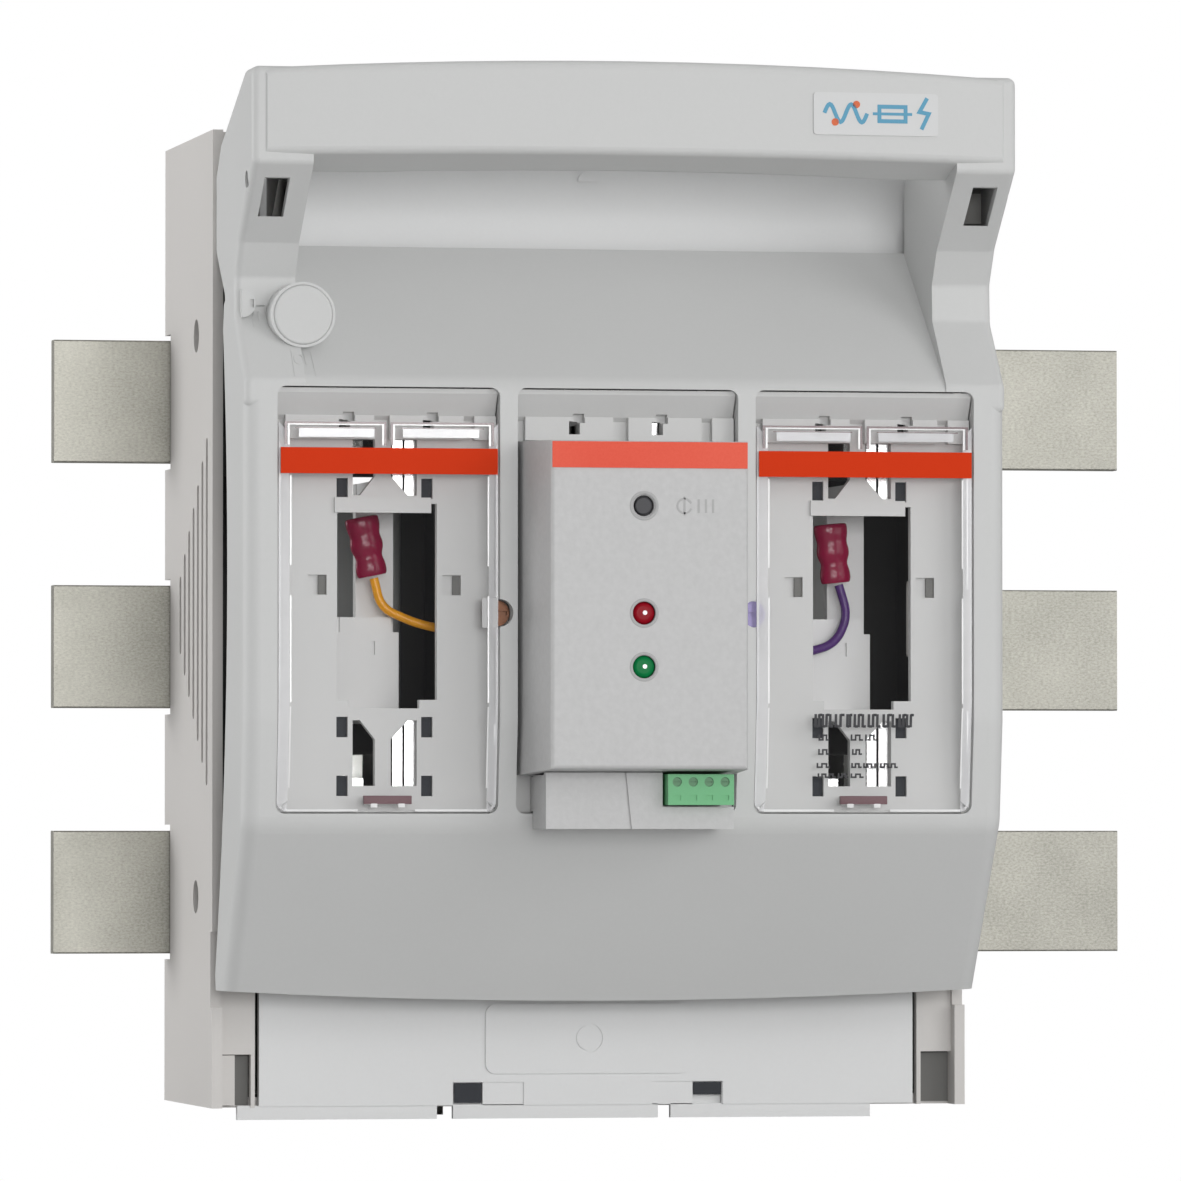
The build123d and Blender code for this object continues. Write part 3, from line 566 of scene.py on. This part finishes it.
def makeWindow(side):
    x = window["poleX"][side]
    half, low, high = window["half"], window["low"], window["high"]
    pane = addBlock("window_pane_" + side, (x - half, window["front"], low),
                    (x + half, window["front"] + window["thick"], high))
    pick(pane, lambda centre, way: abs(way.y) > 0.9 and centre.z < at(0, 0, low + 1).z, "EDGE")
    bpy.ops.mesh.bevel(offset=window["corner"] * mm, segments=5)
    bpy.ops.mesh.select_all(action="SELECT")
    bpy.ops.mesh.bisect(plane_co=at(0, 0, window["bend"]), plane_no=(0, 0, 1))
    pick(pane, lambda centre, normal: normal.y < -0.9)
    bpy.ops.mesh.inset(thickness=window["border"] * mm, depth=0.0)
    outer = (half - 0.3) * mm

    def onOutline(place, normal):
        local = place - at(x, 0, 0)
        nearSide = abs(local.x) > outer
        return (nearSide or place.z < at(0, 0, low + 0.3).z or place.z > at(0, 0, high - 0.3).z) \
            and place.y < at(0, window["front"] + 0.1, 0).y
    pick(pane, onOutline, "VERT")
    bpy.ops.transform.translate(value=(0, window["borderDrop"] * mm * 0.6, 0))
    bpy.ops.object.mode_set(mode="OBJECT")
    for vertex in pane.data.vertices:
        z = vertex.co.z / mm + barMiddle / mm
        vertex.co.y += (paneFront(0, z) - window["front"]) * mm
    # painted highlight: the border's sloped faces and the pane's sides take the whiter edge finish
    pane.data.materials.append(clearWindow)
    pane.data.materials.append(clearEdgeHighlight)
    for face in pane.data.polygons:
        sloped = abs(face.normal.y) < 0.97 and face.center.z > at(0, 0, low + 0.5).z
        edge = abs(face.center.x - x * mm) > (half - window["border"]) * mm * 0.999
        face.material_index = 1 if (sloped and edge) or abs(face.normal.x) > 0.5 else 0
    finishPiece(pane, clearWindow, "window_" + side, ("window_" + side,), 20.0)
    makeWindowRim(side, x)


def paneStroke(name, points, width, behind, thick):
    spans = withSpans(points, False, window["strokeStep"])
    return drawStroke(name, spans, width, lambda x, z: paneFront(x, z) + behind, thick)


def makeWindowRim(side, x):
    node, half = "window_" + side, window["half"]
    behind, raised = window["behind"], window["raised"]
    rim, glint, tongue, glare, line = (window[key] for key in ("rim", "glint", "tongue", "glare", "line"))
    inset, corner, notch = rim["width"] / 2, window["corner"], window["notch"]
    left, right, foot = x - half + inset, x + half - inset, window["low"] + inset
    down = [(left, rim["end"]), (left, foot + corner)]
    down += arcPoints(left + corner, foot + corner, corner, 180, 270, 6)[1:] + [(x - notch, foot)]
    up = [(x + notch, foot), (right - corner, foot)]
    up += arcPoints(right - corner, foot + corner, corner, 270, 360, 6)[1:] + [(right, rim["end"])]
    # painted highlights: bright strokes along the rim, glints down the sides and outlines round the tongues
    strokes = [paneStroke("rim", points, rim["width"], rim["behind"], rim["thick"]) for points in (down, up)]
    for edge in (x - half + glint["left"], x + half - glint["right"]):
        for high, low in glint["runs"]:
            strokes.append(paneStroke("glint", [(edge, high), (edge, low)], glint["width"], behind, raised))
    for start, end in tongue["spans"]:
        outline = [(x + start, tongue["foot"]), (x + start, tongue["top"]),
                   (x + end, tongue["top"]), (x + end, tongue["foot"])]
        strokes.append(paneStroke("tongue", outline, tongue["width"], behind, raised))
    # painted highlight: a pale strip under each tongue
    for start, end in glare["spans"]:
        run = [(x + start, glare["height"]), (x + end, glare["height"])]
        sheen = paneStroke("tongue_painted_highlight", run, glare["width"], glare["behind"], glare["thick"])
        finishPiece(sheen, clearEdgeHighlight, node)
    finishPiece(joinPieces("window_rim_" + side, strokes), clearHighlight, node)
    lines = []
    for start, end in line["spans"]:
        outline = [(x + start, tongue["foot"]), (x + start, line["top"]),
                   (x + end, line["top"]), (x + end, tongue["foot"])]
        lines.append(paneStroke("line", outline, line["width"], line["behind"], raised))
        inner = line["inner"]
        run = [(x + start + inner["inset"], inner["height"]), (x + end - inner["inset"], inner["height"])]
        lines.append(paneStroke("line", run, inner["width"], line["behind"], raised))
    finishPiece(joinPieces("tongue_lines_" + side, lines), tongueLine, node)
    if side == "left":
        # painted reflection: a grey band on the pane's moulded edge hides the inner half of the cover screw
        veil = window["veil"]
        run = [(x + half - veil["inset"], z) for z in veil["run"]]
        cover = drawStroke("screw_painted_reflection", run, veil["width"],
                           lambda px, pz: paneFront(px, pz) + veil["behind"], raised)
        finishPiece(cover, clearEdgeReflection, node)


latch = {
    "half": 5.7,
    "low": 71.4,
    "high": 74.2,
    "front": -46.2,
    "back": -44.9,
    "prongLong": 0.8,
    "prongFrom": 2.5,           # from the middle of the bar
    "prongTo": 4.5,
}


def makeLatch(side):
    x = window["poleX"][side]
    barLow = latch["low"] + latch["prongLong"]
    bar = addBlock("latch_bar_" + side, (x - latch["half"], latch["front"], barLow),
                   (x + latch["half"], latch["back"], latch["high"]))
    pick(bar, lambda centre, normal: normal.z < -0.9)
    bpy.ops.mesh.subdivide(number_cuts=6)

    def prongFace(centre, normal):
        away = abs(centre.x / mm - x)
        return normal.z < -0.9 and latch["prongFrom"] < away < latch["prongTo"]
    pick(bar, prongFace)
    bpy.ops.mesh.extrude_region_move(TRANSFORM_OT_translate={"value": (0, 0, -latch["prongLong"] * mm)})
    applyModifier(bar, "BEVEL", width=0.15 * mm, segments=2, limit_method="ANGLE")
    # painted highlight: the bar's lower faces and prongs take the bright clear finish
    bar.data.materials.append(latchTint)
    bar.data.materials.append(clearHighlight)
    for face in bar.data.polygons:
        face.material_index = 1 if face.center.z < at(0, 0, barLow + 0.05).z else 0
    finishPiece(bar, latchTint, "window_" + side)


# printed rating field on the right window: plain bars, no words

ratings = {
    "bold": 0.62,
    "fine": 0.40,
    "pitch": 0.95,
    "tieInset": 0.2,            # from a bar's head or foot
    "tieShare": 0.8,            # of the way to the next bar
    "thick": 0.05,
    "rows": [  # height of the middle, height of the bars, runs from left to right
        (92.0, 3.1, ((45.2, 49.6), (50.1, 52.4), (52.9, 54.2), (54.7, 57.6), (58.1, 61.2),
                     (61.7, 65.0), (65.6, 69.2))),
        (88.0, 1.5, ((46.2, 48.8), (54.0, 57.0), (57.5, 60.4))),
        (84.6, 1.4, ((46.2, 49.0), (54.4, 56.8))),
        (81.4, 1.2, ((45.9, 49.2), (54.3, 56.8), (57.2, 60.8), (61.3, 65.6))),
        (79.0, 1.1, ((46.2, 50.6), (51.1, 53.6), (54.2, 57.4))),
    ],
}


def makeRatings():
    strokes = []
    for middle, tall, runs in ratings["rows"]:
        bold = ratings["bold"] if middle == ratings["rows"][0][0] else ratings["fine"]
        for start, end in runs:
            count = max(2, round((end - start) / ratings["pitch"]))
            step = (end - start) / count
            for i in range(count):  # upright bars, each joined to the next at its head or foot
                left = start + i * step
                tie = middle + (tall / 2 - ratings["tieInset"]) * (1 if i % 2 else -1)
                bar = [(left, middle - tall / 2), (left, middle + tall / 2)]
                link = [(left, tie), (left + step * ratings["tieShare"], tie)]
                strokes.append(drawStroke("bar", bar, bold, paneFront, ratings["thick"]))
                strokes.append(drawStroke("tie", link, bold, paneFront, ratings["thick"]))
    field = joinPieces("rating_field", strokes)
    finishPiece(field, printInk, "window_right")


# emblem plate on the handle: a wave, a fuse sign, a flash and two dots

emblem = {
    "low": (41.6, 229.6),
    "high": (72.0, 239.6),
    "front": -60.0,
    "back": -59.6,
    "spans": 12,                # the plate is cut into these to follow the bowed handle
    "margin": 0.2,
    "readLow": 230.2,           # the handle's label is measured between these heights
    "readHigh": 239.0,
    "corner": 0.8,
    "thick": 0.3,
    "raised": 0.06,
    "stroke": 0.95,
    "middle": 234.7,
    "waveStart": 44.2,
    "waveEnd": 54.6,
    "waveTall": 2.1,
    "waveSteps": 32,
    "fuse": (57.6, 64.0),
    "fuseTall": 1.7,
    "fuseWire": 1.6,            # beyond each end of the fuse
    "flash": ((69.3, 238.6), (67.4, 235.3), (69.7, 234.9), (67.9, 231.2)),
    "dots": ((46.8, 232.6), (52.0, 236.8)),
    "dotRadius": 0.45,
    "dotWidth": 0.85,
}


def makeEmblem():
    low, high = emblem["low"], emblem["high"]
    label = addBlock("handle_emblem_plate", (low[0], emblem["front"], low[1]),
                     (high[0], emblem["back"], high[1]))
    pick(label, lambda centre, way: abs(way.y) > 0.9, "EDGE")
    bpy.ops.mesh.bevel(offset=emblem["corner"] * mm, segments=4)
    for i in range(1, emblem["spans"]):
        bpy.ops.mesh.select_all(action="SELECT")
        cut = at(low[0] + (high[0] - low[0]) * i / emblem["spans"], 0, 0)
        bpy.ops.mesh.bisect(plane_co=cut, plane_no=(1, 0, 0))
    bpy.ops.object.mode_set(mode="OBJECT")

    def inLabel(x):
        return min(max(x, low[0] + emblem["margin"]), high[0] - emblem["margin"])

    halfway = at(0, (emblem["front"] + emblem["back"]) / 2, 0).y
    for vertex in label.data.vertices:
        z = (vertex.co.z + barMiddle) / mm
        z = min(max(z, emblem["readLow"]), emblem["readHigh"])
        front = surfaceAt("handle_label", inLabel(vertex.co.x / mm), z)
        behind = vertex.co.y > halfway
        vertex.co.y = at(0, front + (emblem["thick"] if behind else 0.02), 0).y
    finishPiece(label, labelWhite, "cover", ("handle_label",))

    def onLabel(x, z):
        return surfaceAt("handle_label", inLabel(x), 235.0)

    stroke, middle, raised = emblem["stroke"], emblem["middle"], emblem["raised"]
    steps = emblem["waveSteps"]
    span = emblem["waveEnd"] - emblem["waveStart"]
    wave = [(emblem["waveStart"] + span * i / steps,
             middle + emblem["waveTall"] * math.sin(4 * math.pi * i / steps)) for i in range(steps + 1)]
    left, right = emblem["fuse"]
    tall, reach = emblem["fuseTall"], emblem["fuseWire"]
    body = [(left, middle - tall), (left, middle + tall), (right, middle + tall), (right, middle - tall)]
    wire = withSpans([(left - reach, middle), (right + reach, middle)], False, 2.0)
    blue = [drawStroke("wave", wave, stroke, onLabel, raised),
            drawStroke("body", withSpans(body, True, 2.0), stroke, onLabel, raised, True),
            drawStroke("wire", wire, stroke * 0.7, onLabel, 0.08),
            drawStroke("flash", list(emblem["flash"]), stroke, onLabel, raised)]
    orange = []
    for x, z in emblem["dots"]:
        dot = arcPoints(x, z, emblem["dotRadius"], 0, 345, 15)
        orange.append(drawStroke("dot", dot, emblem["dotWidth"], onLabel, raised, True))
    finishPiece(joinPieces("emblem_blue", blue), emblemBlue, "cover")
    finishPiece(joinPieces("emblem_orange", orange), emblemOrange, "cover")


# raised position marks on the left arm and beside the test button

marks = {
    "raised": 0.18,
    "bold": 0.4,
    "fine": 0.3,
    "frame": ((-87.4, 184.4), (-84.4, 184.4), (-84.4, 189.4), (-87.4, 189.4)),
    "one": ((-85.9, 185.6), (-85.9, 188.2)),
    "bar": ((-75.9, 177.9), (-75.9, 175.3)),
    "zero": (-77.9, 176.5, 1.1),
    "legs": (-79.4, -74.2),
    "legRun": (178.6, 172.2),
    "press": {"ring": (8.2, 141.6, 1.7), "run": (139.4, 143.8), "width": 0.45, "raised": 0.08},
    "ticks": {"start": 11.6, "pitch": 1.7, "count": 3, "run": (140.0, 143.2), "width": 0.5},
}


def makeMarks():
    def onCover(x, z):
        return surfaceAt("cover_shell", x, z)

    def coverLine(name, points, width, closed=False):
        return drawStroke(name, withSpans(list(points), closed), width, onCover, marks["raised"], closed)

    bold, fine = marks["bold"], marks["fine"]
    ring = arcPoints(*marks["zero"], 0, 345, 15)
    strokes = [coverLine("frame", marks["frame"], fine, True),
               coverLine("one", marks["one"], bold),
               coverLine("bar", marks["bar"], bold),
               drawStroke("zero", ring, bold, onCover, marks["raised"], True)]
    for x in marks["legs"]:
        strokes.append(coverLine("leg", [(x, z) for z in marks["legRun"]], fine))
    finishPiece(joinPieces("position_marks", strokes), coverPlastic, "cover")

    def onMonitor(x, z):
        return surfaceAt("monitor_housing", x, z)

    press, ticks = marks["press"], marks["ticks"]
    raised = press["raised"]
    bar = [(press["ring"][0], z) for z in press["run"]]
    hand = [drawStroke("press", arcPoints(*press["ring"], 20, 340, 18), press["width"], onMonitor, raised),
            drawStroke("press", bar, press["width"], onMonitor, raised)]
    for i in range(ticks["count"]):
        tick = [(ticks["start"] + ticks["pitch"] * i, z) for z in ticks["run"]]
        hand.append(drawStroke("tick", tick, ticks["width"], onMonitor, raised))
    finishPiece(joinPieces("press_sign", hand), markGrey, "cover")


# thin pieces: painted shade in pockets, slots and notches, and the step and strips at the foot

pocket = {
    "poles": (-57.2, 57.2),
    "offsets": (-16.0, 16.0),
    "low": 121.4,
    "high": 125.9,
    "floor": -40.42,
    "wall": (0.3, 2.15),        # across, from the middle of the pocket
    "wallDeep": 0.7,
    "probes": (76.5, 90.3, 146.3),
    "probeOffset": 10.1,
    "probeHalf": (1.3, 2.35),
    "probeDepths": (-40.6, -40.4),
    "armFront": -40.0,
    "armDepth": 2.2,
    "armBeside": 4.6,           # the arm's front is measured this far outside the pocket
    "armThick": 0.1,
    "arms": (((-84.2, 210.0), (-79.3, 218.0)), ((82.0, 210.6), (87.9, 219.2))),
    "notches": (((-85.8, 0.6), (-82.2, 12.5)), ((82.4, 0.6), (90.4, 12.4))),
    "notchDepths": (3.0, 3.4),
    "step": ((-89.3, 0.4, 0.6), (-85.8, 2.4, 12.5)),
    "strips": ((-85.2, -36.8), (-32.9, 17.2), (20.3, 69.5)),
    "stripDepths": (0.4, 2.2),  # the floor's own lips are far behind these
    "stripHeights": (-2.9, 0.5),
    "slots": (((-32.6, 0.9), (-26.0, 5.6)), ((25.9, 2.6), (32.7, 5.6))),
    "slotDepths": (0.35, 0.55),
}


def makePlates(name, corners, depths):
    # one block for each pair of corners (x, z), between two depths
    front, back = depths
    return [addBlock(name, (low[0], front, low[1]), (high[0], back, high[1])) for low, high in corners]


def makePockets():
    near, far = pocket["wall"]
    middles = [pole + offset for pole in pocket["poles"] for offset in pocket["offsets"]]
    corners = [((middle + near, pocket["low"]), (middle + far, pocket["high"])) for middle in middles]
    walls = makePlates("wall", corners, (pocket["floor"] - pocket["wallDeep"], pocket["floor"]))
    finishPiece(joinPieces("pocket_shades", walls), pocketShade, "cover")

    halfX, halfZ = pocket["probeHalf"]
    middles = [(pole + side * pocket["probeOffset"], height)
               for pole in pocket["poles"] for side in (-1, 1) for height in pocket["probes"]]
    corners = [((x - halfX, z - halfZ), (x + halfX, z + halfZ)) for x, z in middles]
    probes = makePlates("probe", corners, pocket["probeDepths"])
    finishPiece(joinPieces("probe_shades", probes), openingShade, "cover")

    # painted shade: a dark sheet 2.2 mm behind each arm's front lies in its side pocket
    def pocketFloor(x, z):
        beside = x + math.copysign(pocket["armBeside"], x)
        return (surfaceAt("cover_shell", beside, z) or pocket["armFront"]) + pocket["armDepth"]

    floors = []
    for low, high in pocket["arms"]:
        middle = (low[0] + high[0]) / 2
        run = withSpans([(middle, low[1]), (middle, high[1])], False, 1.5)
        floors.append(drawStroke("floor", run, high[0] - low[0], pocketFloor, pocket["armThick"]))
    finishPiece(joinPieces("arm_pocket_shades", floors), pocketShade, "cover")
    # painted shade: dark plates close the backs of the two corner notches
    backs = makePlates("back", pocket["notches"], pocket["notchDepths"])
    finishPiece(joinPieces("notch_back_shades", backs), pocketShade, "base")
    step = addBlock("notch_step", *pocket["step"])
    finishPiece(step, housingPlastic, "base")
    foot, top = pocket["stripHeights"]
    corners = [((low, foot), (high, top)) for low, high in pocket["strips"]]
    strips = makePlates("strip", corners, pocket["stripDepths"])
    finishPiece(joinPieces("foot_strips", strips), shroudPlastic, "base")
    # painted shade: dark plates just behind the shroud's front make its two recesses look dark
    shades = makePlates("recess_shade", pocket["slots"], pocket["slotDepths"])
    finishPiece(joinPieces("shroud_recess_shades", shades), openingShade, "base")


# crimped tab connectors inside the left and right openings

tab = {
    "left": {"place": (-59.0, -28.0, 133.0), "turn": -11.0},
    "right": {"place": (53.9, -28.0, 132.0), "turn": -6.0},
    "half": (4.1, 2.2),
    "vertices": 32,
    "inset": 0.9,
    "drop": 1.6,
    "rings": [  # along the sleeve from top to bottom, and its girth there
        (7.2, 0.90), (6.9, 1.0), (4.6, 1.0), (3.4, 0.90), (2.2, 0.88), (1.0, 0.98), (-0.6, 0.96),
        (-1.8, 0.80), (-2.8, 0.78), (-3.8, 0.88), (-5.6, 0.92), (-6.9, 0.86), (-7.2, 0.74),
    ],
}


def makeTab(side):
    facts = tab[side]
    clearSelection()
    bpy.ops.mesh.primitive_circle_add(vertices=tab["vertices"], radius=1.0, fill_type="NGON",
                                      location=(0, 0, 0))
    sleeve = bpy.context.object
    sleeve.name = "tab_sleeve_" + side
    halfX, halfY = (value * mm for value in tab["half"])
    bpy.ops.object.mode_set(mode="EDIT")
    bpy.ops.mesh.select_all(action="SELECT")
    rings = tab["rings"]
    bpy.ops.transform.resize(value=(halfX * rings[0][1], halfY * rings[0][1], 1.0), center_override=(0, 0, 0))
    bpy.ops.transform.translate(value=(0, 0, rings[0][0] * mm))
    for (before, girthBefore), (along, girth) in zip(rings, rings[1:]):
        step = (along - before) * mm
        bpy.ops.mesh.extrude_region_move(TRANSFORM_OT_translate={"value": (0, 0, step)})
        grow = girth / girthBefore
        bpy.ops.transform.resize(value=(grow, grow, 1.0), center_override=(0, 0, along * mm))
    bpy.ops.mesh.inset(thickness=tab["inset"] * mm, depth=0.0)
    bpy.ops.transform.translate(value=(0, 0, tab["drop"] * mm))
    bpy.ops.object.mode_set(mode="OBJECT")
    clearSelection()
    applyModifier(sleeve, "SUBSURF", levels=1, render_levels=1)
    turn = Matrix.Rotation(math.radians(facts["turn"]), 4, "Y")
    sleeve.data.transform(Matrix.Translation(at(*facts["place"])) @ turn)
    finishPiece(sleeve, tabInsulation, "cover", ("tab_connector_" + side,), 60.0)


# bezels around the lamps and the button, made once and copied

bezel = {
    "x": -1.4,
    "heights": (141.6, 116.6, 104.1),
    "front": -72.62,
    "ring": 3.1,
    "tube": 0.42,
    "squeeze": 0.5,
    "glint": {"radius": 0.28, "width": 0.5, "beside": 0.2, "above": 0.1, "raised": 0.06},
}


def makeBezels():
    rings = []
    for height in bezel["heights"]:
        if rings:
            ring = rings[0].copy()
            ring.data = rings[0].data.copy()
            bpy.context.scene.collection.objects.link(ring)
            ring.data.transform(Matrix.Translation((0, 0, (height - bezel["heights"][0]) * mm)))
        else:
            clearSelection()
            bpy.ops.mesh.primitive_torus_add(major_segments=48, minor_segments=10,
                                             rotation=(math.pi / 2, 0, 0),
                                             location=at(bezel["x"], bezel["front"] + 0.2, height),
                                             major_radius=bezel["ring"] * mm, minor_radius=bezel["tube"] * mm)
            ring = bpy.context.object
            bpy.ops.object.transform_apply(location=True, rotation=True, scale=True)
            bpy.ops.object.mode_set(mode="EDIT")
            bpy.ops.mesh.select_all(action="SELECT")
            centre = at(bezel["x"], bezel["front"] + 0.25, height)
            bpy.ops.transform.resize(value=(1.0, bezel["squeeze"], 1.0), center_override=centre)
            bpy.ops.object.mode_set(mode="OBJECT")
        rings.append(ring)
    finishPiece(joinPieces("monitor_bezels", rings), markGrey, "cover", (), 60.0)
    # painted highlights: a small bright ring on each lamp lens
    glints = []
    glint = bezel["glint"]
    for lamp, height in zip(("lamp_red", "lamp_green"), bezel["heights"][1:]):
        front = surfaceAt(lamp, bezel["x"], height)
        dot = arcPoints(bezel["x"] + glint["beside"], height + glint["above"], glint["radius"], 0, 330, 11)
        glints.append(drawStroke("glint", dot, glint["width"], lambda x, z, front=front: front,
                                 glint["raised"], True))
    finishPiece(joinPieces("lamp_glints", glints), clearHighlight, "cover")


for side in ("left", "right"):
    makeWindow(side)
    makeLatch(side)
    makeTab(side)
makeRatings()
makeEmblem()
makeMarks()
makePockets()
makeBezels()
print("pieces modelled")


# camera, floor and light

view = {
    "eye": (-0.447, -2.262, -0.0453),
    "turn": math.radians(-11.5),
    "tilt": math.radians(91.48),
    "lens": 284.9,
}
cameraData = bpy.data.cameras.new("camera")
cameraData.lens = view["lens"]
cameraData.sensor_width = 36.0
camera = bpy.data.objects.new("camera", cameraData)
camera.location = view["eye"]
camera.rotation_euler = (view["tilt"], 0.0, view["turn"])
bpy.context.scene.collection.objects.link(camera)
bpy.context.scene.camera = camera

studio = {
    "floorSize": 12.0,
    "floorDrop": 0.0005,
    "floorColour": (0.60, 0.60, 0.60),
    "skyStrength": 0.8,
    "target": (0.0, -0.05, 0.0),
    "skyStops": ((0.0, 0.3), (0.48, 0.4), (0.6, 0.55), (0.85, 0.62)),
    "lights": [  # name, place, size, watts
        ("key", (1.5, -1.9, 0.5), 1.4, 14.0),
        ("front", (0.05, -2.7, 0.02), 1.1, 34.0),
        ("left_back", (-1.6, 0.55, 0.1), 1.0, 17.0),
    ],
}


def makeFloor():
    bpy.ops.object.select_all(action="DESELECT")
    bpy.ops.mesh.primitive_plane_add(size=studio["floorSize"],
                                     location=(0, 0, cadBox[0][2] - studio["floorDrop"]))
    floor = bpy.context.object
    floor.name = "floor"
    finish = Finish("pale_floor")
    dust = finish.noise(3.0, 2.0)
    pale = finish.blended(dust, shade(studio["floorColour"], 0.95), studio["floorColour"])
    finish.set(baseColor=pale, roughness=0.9)
    glow = finish.add("ShaderNodeEmission", None, {"Color": (1.0, 1.0, 1.0), "Strength": 1.0})
    seen = finish.add("ShaderNodeLightPath")
    mixed = finish.add("ShaderNodeMixShader", None,
                       {0: seen, 1: Wire(finish, finish.shader.outputs[0]), 2: glow})
    finish.tree.links.new(mixed.socket, finish.tree.nodes["Material Output"].inputs["Surface"])
    floor.data.materials.append(finish.material)


def makeSky():
    # white to the camera; a soft gradient from bottom to top to everything else
    world = bpy.data.worlds.new("sky")
    bpy.context.scene.world = world
    world.use_nodes = True
    tree = world.node_tree
    ground = tree.nodes["Background"]
    ground.inputs["Strength"].default_value = studio["skyStrength"]
    place = tree.nodes.new("ShaderNodeTexCoord")
    split = tree.nodes.new("ShaderNodeSeparateXYZ")
    spread = tree.nodes.new("ShaderNodeMapRange")
    ramp = tree.nodes.new("ShaderNodeValToRGB")
    spread.inputs["From Min"].default_value = -1.0
    elements = ramp.color_ramp.elements
    while len(elements) < len(studio["skyStops"]):
        elements.new(0.5)
    for element, (position, grey) in zip(elements, studio["skyStops"]):
        element.position = position
        element.color = (grey, grey, grey, 1.0)
    tree.links.new(place.outputs["Generated"], split.inputs[0])
    tree.links.new(split.outputs["Z"], spread.inputs["Value"])
    tree.links.new(spread.outputs[0], ramp.inputs[0])
    tree.links.new(ramp.outputs[0], ground.inputs["Color"])
    seen = tree.nodes.new("ShaderNodeBackground")
    seen.inputs["Color"].default_value = (1.0, 1.0, 1.0, 1.0)
    path = tree.nodes.new("ShaderNodeLightPath")
    mix = tree.nodes.new("ShaderNodeMixShader")
    tree.links.new(path.outputs["Is Camera Ray"], mix.inputs[0])
    tree.links.new(ground.outputs[0], mix.inputs[1])
    tree.links.new(seen.outputs[0], mix.inputs[2])
    tree.links.new(mix.outputs[0], tree.nodes["World Output"].inputs[0])


def makeLights():
    target = Vector(studio["target"])
    for name, place, size, watts in studio["lights"]:
        data = bpy.data.lights.new(name, "AREA")
        data.size = size
        data.energy = watts
        light = bpy.data.objects.new(name, data)
        light.location = place
        light.rotation_euler = (target - Vector(place)).to_track_quat("-Z", "Y").to_euler()
        bpy.context.scene.collection.objects.link(light)


makeFloor()
makeSky()
makeLights()
bpy.context.scene.view_settings.view_transform = "Standard"
print("studio made")
